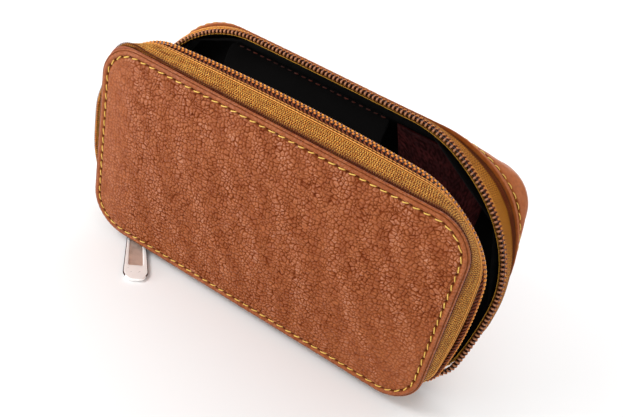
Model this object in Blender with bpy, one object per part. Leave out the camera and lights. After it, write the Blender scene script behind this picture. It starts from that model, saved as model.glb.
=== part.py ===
"""Multi glasses organizer: a leather zip case of two moulded halves, standing ajar.

Dimensions are millimetres, scaled to metres when a mesh is made.  The origin is the
middle of the spine's fold line, on the surface the case stands on; +X runs along the
spine, +Z is up and the front faces -Y.

Each half is drawn in its own frame, leaned about the fold line: y = 0 is the zip plane,
z = 0 is the fold, and depth is the distance from the zip plane towards that half's face.
Left is -X and right is +X.
"""
import math
from collections import namedtuple

import bmesh
import bpy

MM = 0.001
FRONT, BACK = -1.0, 1.0   # sign of y for depth in each half

# ---------------------------------------------------------------- stance
FRONT_LEAN = 2.5          # degrees the front half leans forward
BACK_LEAN = 15.0          # degrees the back half leans backward
DIVIDER_LEAN = (BACK_LEAN - FRONT_LEAN) / 2   # backward, halfway between the halves

# ---------------------------------------------------------------- outlines
# half width on the left at the top and at the bottom, half width on the right, bottom and
# top heights, corner radii (top left, top right, bottom right, bottom left), then how far
# the top, right and left sides bow out
Shape = namedtuple(
    "Shape", "left left_low right bottom top r_tl r_tr r_br r_bl bow_top bow_right bow_left",
    defaults=(0.0, 0.0, 0.0))
FRONT_FACE = Shape(80.0, 80.0, 80.0, 4.0, 93.0, 16.5, 16.5, 16.5, 16.5)
FRONT_TIPS = Shape(82.5, 79.0, 80.6, 4.0, 92.7, 24.0, 31.6, 11.6, 26.0, 3.6, 5.0, 4.0)
BACK_TIPS = Shape(87.0, 79.0, 84.1, 4.0, 97.0, 43.0, 53.9, 11.6, 26.0, 0.8, 5.2, 1.0)
BACK_LIP = Shape(87.0, 81.0, 86.4, 4.8, 97.6, 33.0, 58.0, 30.0, 26.0, 0.0, 3.0, 1.0)
BACK_WALL = Shape(85.5, 84.0, 82.2, 5.6, 91.8, 21.0, 17.5, 42.0, 30.0, 0.8, 0.0, 0.0)
POCKET = Shape(62.0, 62.0, 18.5, 20.0, 89.3, 6.0, 2.0, 8.0, 14.0)
DIVIDER = Shape(70.0, 70.0, 70.0, 9.0, 82.0, 16.0, 16.0, 14.0, 20.0)

MIN_RADIUS = 1.5          # least corner radius left after an inset
BOW_X = 70.0              # distance from the middle at which the bows reach their limit
Z_MID = (FRONT_FACE.bottom + FRONT_FACE.top) / 2
RIGHT_BOW_REACH = 40.0    # the right bow fades out this far above and below Z_MID
LEFT_BOW_Z, LEFT_BOW_REACH = 55.0, 25.0       # the left bow's middle height and reach

# steps along the half bottom, a corner, a side and the top of an outline
N_BOTTOM, N_CORNER, N_SIDE, N_TOP = 4, 8, 5, 9
N_ALL = 4 * N_CORNER + 2 * N_SIDE + N_TOP + 2 * N_BOTTOM
CORNER_LEFT = N_BOTTOM                        # first station of the lower left corner
CORNER_RIGHT = N_ALL - N_BOTTOM               # last station of the lower right corner

# ---------------------------------------------------------------- depths
TIP_D = 0.6               # coil tips
COIL_D = 4.7              # deep side of the coil
TAPE_D = 5.0              # tape edge next to the coil
FRONT_TAPE_END, BACK_TAPE_END = 14.7, 14.1
LINING_EDGE_D = 5.2       # rim of both linings
EDGE_D = 15.0             # the front leather's edge, on the zip side
INNER_D = 12.95           # inner face of the front half's stiffening
FACE_D = 17.0             # rim of the front face
CROWN = 1.3               # how far the front face swells above its rim
CROWN_IN = 40.0           # inset at which the swell is full
LIP_D = 13.0              # where the back outline turns from its lip to its wall
LIP_EDGE = 14.4           # edge of the back shell's leather
WALL_D = 19.0             # where the back shell starts to round over
BACK_D = 30.0             # outer face of the back shell

# ---------------------------------------------------------------- thicknesses
LEATHER = 1.8
TAPE_T = 0.8
TAPE_IN = 0.9             # tape's inset from the outline
COIL_T = 2.2
GAP = 0.3
THREAD = 0.6

# ---------------------------------------------------------------- stitching
STITCH_IN = 3.0           # front stitch line to the edge of the leather
WALL_STITCH_D = LIP_D + 3.0
GROOVE = 0.55 * THREAD + GAP
GROOVE_HALF = 0.6         # half the groove's width

# the tapes and coils end just past the lower right corner; the back ones start halfway
# round the left corner, clear of the slider
ZIP_END = CORNER_RIGHT + 1
FRONT_ZIP_START = CORNER_LEFT
BACK_ZIP_START = CORNER_LEFT + N_CORNER // 2


# ================================================================ outline tools
def arc(cx, cz, radius, start, end, steps):
    """Points round an arc, angles in degrees, without its last point."""
    angles = [math.radians(start + (end - start) * k / steps) for k in range(steps)]
    return [(cx + radius * math.cos(a), cz + radius * math.sin(a)) for a in angles]


def line(start, end, steps):
    """Points along a line, without its last point."""
    return mix([start] * steps, [end] * steps, [k / steps for k in range(steps)])


def mix(first, second, shares):
    """Blend two point lists; shares holds the second list's weight at each point."""
    return [(p[0] * (1 - t) + q[0] * t, p[1] * (1 - t) + q[1] * t)
            for p, q, t in zip(first, second, shares)]


def blend(shape_a, shape_b, inset, share):
    """Outline part of the way from one shape to another."""
    return mix(outline(shape_a, inset), outline(shape_b, inset), [share] * N_ALL)


def fade(distance, reach):
    return 1 - min(abs(distance) / reach, 1) ** 2


def bowed(shape, x, z):
    """Push a point outwards by the shape's bows."""
    height = z - Z_MID
    rise = max(0.0, min(height / (shape.top - Z_MID), 1))
    if x > 0:
        side = shape.bow_right * fade(height, RIGHT_BOW_REACH) * min(x / BOW_X, 1)
    else:
        left_fade = fade(z - LEFT_BOW_Z, LEFT_BOW_REACH) ** 2
        side = -shape.bow_left * left_fade * min(-x / BOW_X, 1)
    return (x + side, z + shape.bow_top * fade(x, BOW_X) * rise)


def outline(shape, inset):
    """Closed outline from the middle of the bottom, left, up, over and down."""
    left, left_low = inset - shape.left, inset - shape.left_low
    right = shape.right - inset
    bottom, top = shape.bottom + inset, shape.top - inset
    tl, tr, br, bl = (max(r - inset, MIN_RADIUS)
                      for r in (shape.r_tl, shape.r_tr, shape.r_br, shape.r_bl))
    points = line((0, bottom), (left_low + bl, bottom), N_BOTTOM)
    points += arc(left_low + bl, bottom + bl, bl, 270, 180, N_CORNER)
    points += line((left_low, bottom + bl), (left, top - tl), N_SIDE)
    points += arc(left + tl, top - tl, tl, 180, 90, N_CORNER)
    points += line((left + tl, top), (right - tr, top), N_TOP)
    points += arc(right - tr, top - tr, tr, 90, 0, N_CORNER)
    points += line((right, top - tr), (right, bottom + br), N_SIDE)
    points += arc(right - br, bottom + br, br, 0, -90, N_CORNER)
    points += line((right - br, bottom), (0, bottom), N_BOTTOM)
    return [bowed(shape, x, z) for x, z in points]


def front_wall(depth, inset):
    """The front half's wall outline, from leather edge to coil tips."""
    share = (EDGE_D - depth) / (EDGE_D - TIP_D)
    swell = 0.25 * math.sin(math.pi * share)
    return blend(FRONT_FACE, FRONT_TIPS, inset - swell, share)


def back_wall(depth, inset):
    """The back half's wall outline, from coil tips to lip to wall."""
    if depth <= LIP_D:
        return blend(BACK_TIPS, BACK_LIP, inset, (depth - TIP_D) / (LIP_D - TIP_D))
    return blend(BACK_LIP, BACK_WALL, inset, (depth - LIP_D) / (WALL_D - LIP_D))


def shape_rings(shape, stations):
    """(depth, outline) rings of one shape from (depth, inset) stations."""
    return [(depth, outline(shape, inset)) for depth, inset in stations]


def wall_rings(wall, stations):
    """(depth, outline) rings of a half's wall from (depth, inset) stations."""
    return [(depth, wall(depth, inset)) for depth, inset in stations]


def round_ring(angle, thickness, start, radius, edge=0.0):
    """Ring on the back's rounded edge, angle degrees from wall to face."""
    a = math.radians(angle)
    reach = radius - thickness
    inset = edge + radius - reach * math.cos(a)
    return (start + reach * math.sin(a), outline(BACK_WALL, inset))


def crown(inset):
    """Front face depth at an inset from its edge."""
    return FACE_D + CROWN * math.sin(0.5 * math.pi * inset / CROWN_IN)


# ================================================================ object tools
def loft(name, loops, mat, parent=None, closed=False):
    """Skin loops of (x, y, z) points; the ends are filled unless the loops close up."""
    count, size = len(loops), len(loops[0])
    verts = [tuple(c * MM for c in point) for loop in loops for point in loop]
    faces = []
    for a in range(count if closed else count - 1):
        b = (a + 1) % count
        for i in range(size):
            j = (i + 1) % size
            faces.append((a * size + i, a * size + j, b * size + j, b * size + i))
    if not closed:
        faces.append(tuple(range(size)))
        faces.append(tuple(range((count - 1) * size, count * size)))
    mesh = bpy.data.meshes.new(name)
    mesh.from_pydata(verts, [], faces)
    bm = bmesh.new()
    bm.from_mesh(mesh)
    bmesh.ops.recalc_face_normals(bm, faces=bm.faces)
    bm.to_mesh(mesh)
    bm.free()
    mesh.shade_smooth()
    mesh.set_sharp_from_angle(angle=math.radians(35.0))
    mesh.materials.append(mat)
    ob = bpy.data.objects.new(name, mesh)
    bpy.context.scene.collection.objects.link(ob)
    ob.parent = parent
    return ob


def stack(name, side, rings, mat, parent, closed=False):
    """Skin (depth, outline) rings one after another."""
    loops = [[(x, side * depth, z) for x, z in ring] for depth, ring in rings]
    return loft(name, loops, mat, parent, closed)


def plate(name, side, shape, inset, depths, mat, parent):
    """Flat plate between two depths."""
    return stack(name, side, shape_rings(shape, [(d, inset) for d in depths]), mat, parent)


def band(name, side, section, first, last, mat, parent):
    """Sweep a section, given as (depth, outline) corners, over a run of stations."""
    loops = [[(ring[i][0], side * depth, ring[i][1]) for depth, ring in section]
             for i in range(first, last + 1)]
    return loft(name, loops, mat, parent)


def prism_x(name, section, x0, x1, mat, parent=None):
    """A (y, z) section extruded along the spine."""
    return loft(name, [[(x, y, z) for y, z in section] for x in (x0, x1)], mat, parent)


def boolean(target, tool, name, operation):
    """Combine a hidden helper with the target."""
    tool.hide_render = True
    tool.display_type = "WIRE"
    mod = target.modifiers.new(name, "BOOLEAN")
    mod.operation = operation
    mod.solver = "EXACT"
    mod.object = tool


def empty(name, location=(0, 0, 0), degrees=(0, 0, 0), parent=None):
    ob = bpy.data.objects.new(name, None)
    bpy.context.scene.collection.objects.link(ob)
    ob.location = [c * MM for c in location]
    ob.rotation_euler = [math.radians(a) for a in degrees]
    ob.parent = parent
    return ob


def material(name, colour, roughness, metallic=0.0):
    mat = bpy.data.materials.new(name)
    mat.use_nodes = True
    inputs = mat.node_tree.nodes["Principled BSDF"].inputs
    inputs["Base Color"].default_value = (*colour, 1)
    inputs["Roughness"].default_value = roughness
    inputs["Metallic"].default_value = metallic
    mat.diffuse_color = (*colour, 1)
    return mat


def clear_scene():
    for ob in list(bpy.data.objects):
        bpy.data.objects.remove(ob, do_unlink=True)


clear_scene()

TAN = material("tan_leather", colour=(0.36, 0.12, 0.045), roughness=0.5)
TAN_DARK = material("tan_leather_edge", colour=(0.22, 0.065, 0.022), roughness=0.55)
YELLOW_THREAD = material("yellow_thread", colour=(0.80, 0.52, 0.10), roughness=0.6)
ZIP_TAPE = material("zip_tape", colour=(0.50, 0.20, 0.03), roughness=0.75)
ZIP_COIL = material("zip_coil", colour=(0.20, 0.055, 0.02), roughness=0.4)
NICKEL = material("nickel", colour=(0.72, 0.70, 0.68), roughness=0.22, metallic=1.0)
FOAM = material("foam", colour=(0.10, 0.10, 0.10), roughness=0.9)
BOARD = material("fibreboard", colour=(0.30, 0.22, 0.14), roughness=0.85)
LINING = material("black_lining", colour=(0.012, 0.011, 0.012), roughness=0.85)
DARK_LEATHER = material("dark_leather", colour=(0.045, 0.012, 0.012), roughness=0.5)
HEM_THREAD = material("hem_thread", colour=(0.25, 0.06, 0.035), roughness=0.6)

front = empty("front_half_frame", degrees=(FRONT_LEAN, 0, 0))
back = empty("back_half_frame", degrees=(-BACK_LEAN, 0, 0))
middle = empty("divider_frame", degrees=(-DIVIDER_LEAN, 0, 0))


# ================================================================ zip, both halves
def zip_tape(name, side, wall, depths, first, parent):
    """Tape following the wall: out along its outer face, back along its inner face."""
    stations = [(d, TAPE_IN) for d in depths]
    stations += [(d, TAPE_IN + TAPE_T) for d in reversed(depths)]
    band(name, side, wall_rings(wall, stations), first, ZIP_END, ZIP_TAPE, parent)


def zip_coil(name, side, tips, first, parent):
    """Hexagonal coil that keeps to the tip outline, so its corner stays a true arc."""
    chamfer, shoulder = 0.75, TIP_D + 1.2
    section = shape_rings(tips, [
        (TIP_D, chamfer), (shoulder, 0.0), (COIL_D, 0.0),
        (COIL_D, COIL_T), (shoulder, COIL_T), (TIP_D, COIL_T - chamfer)])
    band(name, side, section, first, ZIP_END, ZIP_COIL, parent)


def zip_stop(name, side, tips, station, parent, way=-1, length=2.4):
    """Bevelled block just beyond a coil end; way is its direction along X."""
    half_height = 1.3
    x, z = outline(tips, COIL_T / 2)[station]
    x += way * (length / 2 + GAP)
    loops = [[(x + u * length / 2, side * depth, z + v * half_height)
              for u, v in ((-1, -1), (1, -1), (1, 1), (-1, 1))]
             for depth in (TIP_D + 0.1, COIL_D)]
    ob = loft(name, loops, NICKEL, parent)
    bevel = ob.modifiers.new("edge", "BEVEL")
    bevel.width = 0.3 * MM
    bevel.segments = 1


# ================================================================ front half
FACE_STITCH_D = crown(STITCH_IN)


def front_leather_panel():
    """Swelling face with a stitch groove, a turned edge and a hollow back."""
    near, far = STITCH_IN - GROOVE_HALF, STITCH_IN + GROOVE_HALF
    brim, floor = FACE_STITCH_D + 0.05, FACE_STITCH_D - GROOVE
    stations = [(crown(i), i) for i in (CROWN_IN, 22, 9)]
    stations += [(brim, far), (floor, far), (floor, near), (brim, near)]
    stations += [(FACE_STITCH_D, 1.5), (FACE_STITCH_D - 0.35, 0.4), (FACE_STITCH_D - 0.85, 0.0)]
    stations += [(EDGE_D + 0.95, 0.15), (EDGE_D + 0.85, 3.3), (crown(6) - LEATHER - 0.2, 4.3)]
    stations += [(crown(i) - LEATHER, i) for i in (12, 22, CROWN_IN)]
    stack("front_leather_panel", FRONT, shape_rings(FRONT_FACE, stations), TAN, front)


def front_edge_band():
    top = EDGE_D + 0.75
    stations = [(EDGE_D, 0.7), (top, 0.5), (top, 2.9), (EDGE_D, 2.9)]
    stack("front_edge_band", FRONT, shape_rings(FRONT_FACE, stations), TAN_DARK, front,
          closed=True)


def front_stitching():
    near, far = STITCH_IN - THREAD / 2, STITCH_IN + THREAD / 2
    low, high = FACE_STITCH_D - GROOVE + GAP, FACE_STITCH_D + 0.2
    stations = [(low, near), (low, far), (high, far), (high, near)]
    stack("front_stitching", FRONT, shape_rings(FRONT_FACE, stations), YELLOW_THREAD, front,
          closed=True)


def front_padding():
    """Foam under the leather, with a board behind it."""
    rim = 6
    stations = [(crown(i) - LEATHER - GAP, i) for i in (CROWN_IN, 22, 12)]
    stations += [(crown(5) - LEATHER - GAP - 0.25, rim), (INNER_D + 1.6, rim)]
    stack("front_foam_pad", FRONT, shape_rings(FRONT_FACE, stations), FOAM, front)
    plate("front_stiffener_board", FRONT, FRONT_FACE, 3.6, (INNER_D + 0.25, INNER_D + 1.25),
          BOARD, front)


def front_lining():
    outer, inner = 2.2, 3.2
    stations = [(12.6, outer), (9.0, outer), (LINING_EDGE_D, outer),
                (LINING_EDGE_D, inner), (9.0, inner), (11.6, inner)]
    stack("front_lining", FRONT, wall_rings(front_wall, stations), LINING, front)


def front_zip():
    zip_tape("front_zip_tape", FRONT, front_wall, (FRONT_TAPE_END, 9.0, TAPE_D),
             FRONT_ZIP_START, front)
    zip_coil("front_zip_coil", FRONT, FRONT_TIPS, FRONT_ZIP_START, front)
    zip_stop("front_zip_end_stop", FRONT, FRONT_TIPS, ZIP_END, front)
    zip_stop("zip_bottom_stop", FRONT, FRONT_TIPS, FRONT_ZIP_START, front, way=1, length=2.0)


front_leather_panel()
front_edge_band()
front_stitching()
front_padding()
front_lining()
front_zip()

# ================================================================ back half
SHELL_FLAT_IN = 22        # inset of the innermost ring on the shell's face
POCKET_D = (16.0, 17.2)   # depths of the pocket panel and the leather patch


def back_leather_shell():
    """Outer skin from the face down to the lip, then back up the inside."""
    def rounded(angles, thickness):
        return [round_ring(a, thickness, WALL_D, BACK_D - WALL_D) for a in angles]

    low, high = WALL_STITCH_D - GROOVE_HALF, WALL_STITCH_D + GROOVE_HALF
    rings = shape_rings(BACK_WALL, [(BACK_D, SHELL_FLAT_IN)])
    rings += rounded((90, 62, 34, 12), 0)
    rings += wall_rings(back_wall, [
        (high, 0), (high, GROOVE), (low, GROOVE), (low, 0),
        (LIP_EDGE + 0.4, 0), (LIP_EDGE, 0.5), (LIP_EDGE, LEATHER), (WALL_D, LEATHER)])
    rings += rounded((30, 60, 90), LEATHER)
    rings += shape_rings(BACK_WALL, [(BACK_D - LEATHER, SHELL_FLAT_IN)])
    stack("back_leather_shell", BACK, rings, TAN, back)


def back_stitching():
    """Thread in the wall's groove, between the middles of the lower corners."""
    low, high = WALL_STITCH_D - THREAD / 2, WALL_STITCH_D + THREAD / 2
    inner = GROOVE - GAP
    outer = inner - THREAD
    section = wall_rings(back_wall, [(low, inner), (high, inner), (high, outer), (low, outer)])
    half_corner = N_CORNER // 2
    band("back_stitching", BACK, section, CORNER_LEFT + half_corner, CORNER_RIGHT - half_corner,
         YELLOW_THREAD, back)


def back_padding():
    plate("back_foam_pad", BACK, BACK_WALL, 13, (26.6, 27.9), FOAM, back)
    plate("back_stiffener_board", BACK, BACK_WALL, 11, (25.3, 26.3), BOARD, back)


def back_lining():
    """Rounded tray inside the shell."""
    thickness = 1
    outer = 2.4           # offset from the shell's outer surface
    inner = outer + thickness
    start, face = 16.0, 25.0

    def rounded(angle, layer):
        return round_ring(angle, layer, start, face - start, outer)

    rings = [rounded(a, 0) for a in (90, 55, 20)]
    rings += wall_rings(back_wall, [(LIP_D, outer + 0.3), (LINING_EDGE_D, outer),
                                    (LINING_EDGE_D, inner), (LIP_D, inner + 0.3)])
    rings += [rounded(a, thickness) for a in (20, 55, 90)]
    stack("back_lining", BACK, rings, LINING, back)


def back_zip():
    zip_tape("back_zip_tape", BACK, back_wall, (TAPE_D, LIP_D, BACK_TAPE_END),
             BACK_ZIP_START, back)
    zip_coil("back_zip_coil", BACK, BACK_TIPS, BACK_ZIP_START, back)
    zip_stop("back_zip_end_stop", BACK, BACK_TIPS, ZIP_END, back)


def pocket():
    """Black panel inside the back half, with a hem stitch near its top."""
    plate("pocket_panel", BACK, POCKET, 0, POCKET_D, LINING, back)
    hem_z, half, raised = 87.9, 0.3, 0.5
    y = POCKET_D[0] - GAP
    section = [(y - raised, hem_z - half), (y, hem_z - half),
               (y, hem_z + half), (y - raised, hem_z + half)]
    prism_x("pocket_hem_stitching", section, -57.0, 16.5, HEM_THREAD, back)


def inner_leather_patch():
    """Patch to the right of the pocket; its left edge slants in its upper part."""
    left, left_top, right = 31, 21, 66
    bottom, slant_z, top = 30, 67.5, 88
    r_top, r_bottom = 19, 20
    points = line((left, bottom), (left, slant_z), 2)
    points += line((left, slant_z), (left_top, top), 2)
    points += line((left_top, top), (right - r_top, top), 2)
    points += arc(right - r_top, top - r_top, r_top, 90, 0, 6)
    points += arc(right - r_bottom, bottom + r_bottom, r_bottom, 0, -90, 6)
    stack("inner_leather_patch", BACK, [(d, points) for d in POCKET_D], DARK_LEATHER, back)


back_leather_shell()
back_stitching()
back_padding()
back_lining()
back_zip()
pocket()
inner_leather_patch()

# ================================================================ spine
SPINE_HALF = 50.0         # half length of the spine leather
SPINE_T = 1.5
SPINE_FLAT = 6.0          # from the fold line to where each strip starts to rise


def spine_strip(name, side, start_y, seam_y, seam_z):
    """Flat foot on the floor from the fold outwards, then a rise to the seam."""
    flat, seam = side * SPINE_FLAT, side * seam_y
    section = [(seam, seam_z), (flat, 0.0), (start_y, 0.0), (start_y, SPINE_T),
               (flat - side * 0.2, SPINE_T), (seam - side * 0.15, seam_z + SPINE_T)]
    prism_x(name, section, -SPINE_HALF, SPINE_HALF, TAN)


# the back strip starts just in front of the fold line and so carries the fold
spine_strip("spine_leather_front", FRONT, start_y=-1.8, seam_y=12.6, seam_z=1.7)
spine_strip("spine_leather_back", BACK, start_y=-1.2, seam_y=13.0, seam_z=0.25)


# ================================================================ divider
def divider():
    """Panel thinned at its rim, held in a leather binding."""
    stations = [(-1.3, 20), (-1.3, 8), (-0.7, 2.3), (0.7, 2.3), (1.3, 8), (1.3, 20)]
    stack("divider_panel", BACK, shape_rings(DIVIDER, stations), LINING, middle)
    stations = [(-1.1, 0), (-1.1, 2.0), (1.1, 2.0), (1.1, 0)]
    stack("divider_binding", BACK, shape_rings(DIVIDER, stations), DARK_LEATHER, middle,
          closed=True)


divider()

# ================================================================ slider
# it sits on the front coil, at the zip's lower left corner
ARC_R = FRONT_TIPS.r_bl
ARC_X = ARC_R - FRONT_TIPS.left_low
ARC_Z = FRONT_TIPS.bottom + ARC_R
PARK = 31.3               # degrees round that corner from straight down
SLIDER_HALF = 11.0        # half the slider's length, in degrees round the corner
SLIDER_START, SLIDER_END = PARK - SLIDER_HALF, PARK + SLIDER_HALF
PLATE_NEAR, PLATE_FAR = 0.45, 1.55            # a plate's faces, from the coil
OUTER_PLATE = (ARC_R + PLATE_NEAR, ARC_R + PLATE_FAR)
INNER_PLATE = (ARC_R - COIL_T - PLATE_FAR, ARC_R - COIL_T - PLATE_NEAR)
PIN_R = 30.2              # the pull's pin, from the corner's centre
PIN_Y = -0.6              # the pin, just ahead of the zip plane

slider_axis = empty("slider_axis", location=(ARC_X, 0, ARC_Z), parent=front)


def polar(radius, angle):
    """(x, z) round the zip's corner, in degrees from straight down towards the left."""
    a = math.radians(angle)
    return (-radius * math.sin(a), -radius * math.cos(a))


def arc_plate(radii, start, end, y_edges, steps):
    """Loops of a plate round the corner; y_edges(angle) gives its two edges."""
    r0, r1 = radii
    loops = []
    for k in range(steps + 1):
        angle = start + (end - start) * k / steps
        y0, y1 = y_edges(angle)
        loop = []
        for radius, y in ((r0, y0), (r1, y0), (r1, y1), (r0, y1)):
            x, z = polar(radius, angle)
            loop.append((x, y, z))
        loops.append(loop)
    return loops


def slider_edges(angle):
    """The plates widen along the slider, away from straight down."""
    t = (angle - SLIDER_START) / (SLIDER_END - SLIDER_START)
    return (-(3.4 + 1.2 * t), 2.4 + 0.8 * t)


def slider_body():
    """Two plates joined at the wide end by a thin post on the zip plane."""
    inner, outer = (arc_plate(radii, SLIDER_START, SLIDER_END, slider_edges, 6)
                    for radii in (INNER_PLATE, OUTER_PLATE))
    overlap = 0.4         # how far the post stops short of the plates' far faces
    post = arc_plate((INNER_PLATE[0] + overlap, OUTER_PLATE[1] - overlap),
                     SLIDER_END - 4.0, SLIDER_END - 0.8, lambda angle: (-0.25, 0.25), 2)
    body = loft("zip_slider_body", inner, NICKEL, slider_axis)
    for k, loops in enumerate((post, outer), 1):
        piece = loft("zip_slider_body_piece_%d" % k, loops, NICKEL, slider_axis)
        boolean(body, piece, "join", "UNION")


def slider_bridge():
    """Low arch on the outer plate, with the pull's bar in its tunnel."""
    outside, inside = 2.9, 2.0                # half lengths
    half_width = 0.9
    foot = OUTER_PLATE[1] + 0.02
    top, ceiling = PIN_R + 2.3, PIN_R + 1.5
    shoulder, shoulder_r = outside - 0.6, top - 0.5
    # distance along the corner from the pin, radius
    profile = [(-outside, foot), (-outside, shoulder_r), (-shoulder, top), (shoulder, top),
               (outside, shoulder_r), (outside, foot), (inside, foot), (inside, ceiling),
               (-inside, ceiling), (-inside, foot)]
    points = [polar(radius, PARK + math.degrees(along / PIN_R)) for along, radius in profile]
    loops = [[(x, y, z) for x, z in points] for y in (PIN_Y - half_width, PIN_Y + half_width)]
    loft("zip_slider_bridge", loops, NICKEL, slider_axis)


slider_body()
slider_bridge()

# ================================================================ pull tab
# it hangs from the bridge and lies forward under the front half's corner; its own x runs
# from the pin to the free end
PULL_LEN = 41.8
PULL_T = 1.0
PULL_HEADING = -50.0      # degrees from +X towards +Y, so it points right and forward
BAR_HALF = 0.35           # half the bar's width along the pull
BEND_X = 9.0              # the pull drops to here, then runs nearly flat
RUN_DROP = 0.7            # how far the nearly flat run falls
REST_Z = 0.75             # height of the mid plane at the free end


def pin_place():
    """The pin, turned out of the front half's frame."""
    x, z = polar(PIN_R, PARK)
    z += ARC_Z
    c, s = math.cos(math.radians(FRONT_LEAN)), math.sin(math.radians(FRONT_LEAN))
    return (x + ARC_X, PIN_Y * c - z * s, PIN_Y * s + z * c)


PIN = pin_place()
pull = empty("pull_axis", location=PIN, degrees=(0, 0, PULL_HEADING))


def pull_z(x):
    """Mid plane of the pull, relative to its pin."""
    knee = PIN[2] - REST_Z - RUN_DROP
    if x < BEND_X:
        return -knee * x / BEND_X
    return -knee - RUN_DROP * (x - BEND_X) / (PULL_LEN - BEND_X)


def cutter_shapes():
    """Loops of the eye's window, then of the recess on the upper and lower faces."""
    x0, x1, half = BAR_HALF, 5.0, 3.4
    plan = [(x0, -half), (x1, -half), (x1, half), (x0, half)]
    shapes = [[[(x, y, z) for x, y in plan] for z in (-6, 4)]]
    x0, x1 = 14.0, PULL_LEN - 9.2
    floor, clear = 0.28, 3.0                  # cutter's reach from the mid plane
    plan = [(x0, -2.4), (x1, -2.9), (x1, 2.9), (x0, 2.4)]
    for way in (1, -1):
        shapes.append([[(x, y, pull_z(x) + way * h) for x, y in plan] for h in (floor, clear)])
    return shapes


def pull_tab():
    # x, half width: bar, eye, waist, widening blade, chamfered end
    plan = [(-BAR_HALF, 3.8), (BAR_HALF, 4.3), (5.8, 4.3), (BEND_X, 3.4), (12.5, 3.9),
            (24.0, 4.55), (PULL_LEN - 4.4, 5.25), (PULL_LEN - 1.3, 3.9), (PULL_LEN, 2.2)]
    loops = [[(x, u * half, pull_z(x) + v * PULL_T / 2)
              for u, v in ((-1, -1), (1, -1), (1, 1), (-1, 1))] for x, half in plan]
    tab = loft("pull_tab", loops, NICKEL, pull)
    for k, shape in enumerate(cutter_shapes()):
        cutter = loft("pull_cutter_%d" % k, shape, NICKEL, pull)
        boolean(tab, cutter, "cut", "DIFFERENCE")


pull_tab()
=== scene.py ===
"""Looks of a zipped glasses organizer, standing open, built round its CAD frame.

The row frame has +X right, -Y front and +Z up; the fold between the two halves is its X axis.
Pieces are drawn in millimetres in their own half's frame, with the zip plane at y = 0 and the
fold at z = 0, and are then turned about the fold.  A depth is the distance from the zip plane
towards that half's outer face, so it runs to -y in the front half and to +y in the back half.
"""
import math
from collections import namedtuple
from functools import cached_property

import bmesh
import bpy
import numpy as np
from mathutils import Matrix, Vector, kdtree


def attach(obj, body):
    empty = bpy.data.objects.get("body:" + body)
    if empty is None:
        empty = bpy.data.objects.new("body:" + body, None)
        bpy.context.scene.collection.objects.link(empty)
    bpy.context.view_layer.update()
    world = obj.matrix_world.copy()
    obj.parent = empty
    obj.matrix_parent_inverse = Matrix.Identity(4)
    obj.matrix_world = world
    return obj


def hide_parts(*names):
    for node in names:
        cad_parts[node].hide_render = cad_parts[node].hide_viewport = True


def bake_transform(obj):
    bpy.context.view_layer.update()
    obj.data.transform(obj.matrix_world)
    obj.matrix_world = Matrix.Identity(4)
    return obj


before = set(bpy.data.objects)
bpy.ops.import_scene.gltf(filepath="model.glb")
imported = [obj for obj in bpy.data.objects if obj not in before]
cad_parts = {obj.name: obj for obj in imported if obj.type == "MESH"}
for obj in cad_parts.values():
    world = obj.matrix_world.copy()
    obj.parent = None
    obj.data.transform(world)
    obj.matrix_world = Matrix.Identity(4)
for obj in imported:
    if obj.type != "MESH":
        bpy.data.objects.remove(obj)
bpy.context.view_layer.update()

MM = 0.001
FRONT_LEAN, BACK_LEAN = 2.5, -15.0      # degrees about the fold
LEAN = {"front_half": FRONT_LEAN, "slider": FRONT_LEAN, "back_half": BACK_LEAN,
        "divider": (FRONT_LEAN + BACK_LEAN) / 2}

# ---------------------------------------------------------------- outlines
# Columns: reach to the left at the top and at the bottom, reach to the right, bottom, top;
# corner radii top left, top right, bottom right, bottom left; bow of the top, right and left.
Outline = namedtuple("Outline", "left left_low right bottom top r_tl r_tr r_br r_bl "
                                "bow_top bow_right bow_left")
FRONT_FACE = Outline(80.0, 80.0, 80.0, 4.0, 93.0, 16.5, 16.5, 16.5, 16.5, 0.0, 0.0, 0.0)
FRONT_TIPS = Outline(82.5, 79.0, 80.6, 4.0, 92.7, 24.0, 31.6, 11.6, 26.0, 3.6, 5.0, 4.0)
BACK_TIPS = Outline(87.0, 79.0, 84.1, 4.0, 97.0, 43.0, 53.9, 11.6, 26.0, 0.8, 5.2, 1.0)
BACK_LIP = Outline(87.0, 81.0, 86.4, 4.8, 97.6, 33.0, 58.0, 30.0, 26.0, 0.0, 3.0, 1.0)
BACK_WALL = Outline(85.5, 84.0, 82.2, 5.6, 91.8, 21.0, 17.5, 42.0, 30.0, 0.8, 0.0, 0.0)
DIVIDER = Outline(70.0, 70.0, 70.0, 9.0, 82.0, 16.0, 16.0, 14.0, 20.0, 0.0, 0.0, 0.0)
POCKET = Outline(62.0, 62.0, 18.5, 20.0, 89.3, 6.0, 2.0, 8.0, 14.0, 0.0, 0.0, 0.0)
Z_MID = (FRONT_FACE.bottom + FRONT_FACE.top) / 2

# Stations number an outline from the middle of its bottom: left, up, over the top and down.
N_BOTTOM, N_CORNER, N_SIDE, N_TOP = 4, 8, 5, 9
N_ALL = 4 * N_CORNER + 2 * N_SIDE + N_TOP + 2 * N_BOTTOM
BOTTOM_LEFT, BOTTOM_RIGHT = N_BOTTOM, N_ALL - N_BOTTOM

# depths
TIP_D, EDGE_D, LIP_D, WALL_D, BACK_D, FACE_D = 0.6, 15.0, 13.0, 19.0, 30.0, 17.0
WALL_R = BACK_D - WALL_D        # round between the back half's wall and its face
CROWN = 1.3                     # rise of the front face
ROLL_R = 1.35                   # width of the front face's rolled edge
SEAM_INSET, SEAM_PITCH = 3.0, 4.16
SEAM_D = FACE_D + CROWN * math.sin(0.5 * math.pi * SEAM_INSET / 40)
LIP_SEAM_D = LIP_D + 2.7
COIL_PITCH, COIL_INSET = 1.80, 1.1
RIB_PITCH, LINE_D = 0.95, 4.80  # the tape's ribs, and its innermost line of thread


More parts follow.
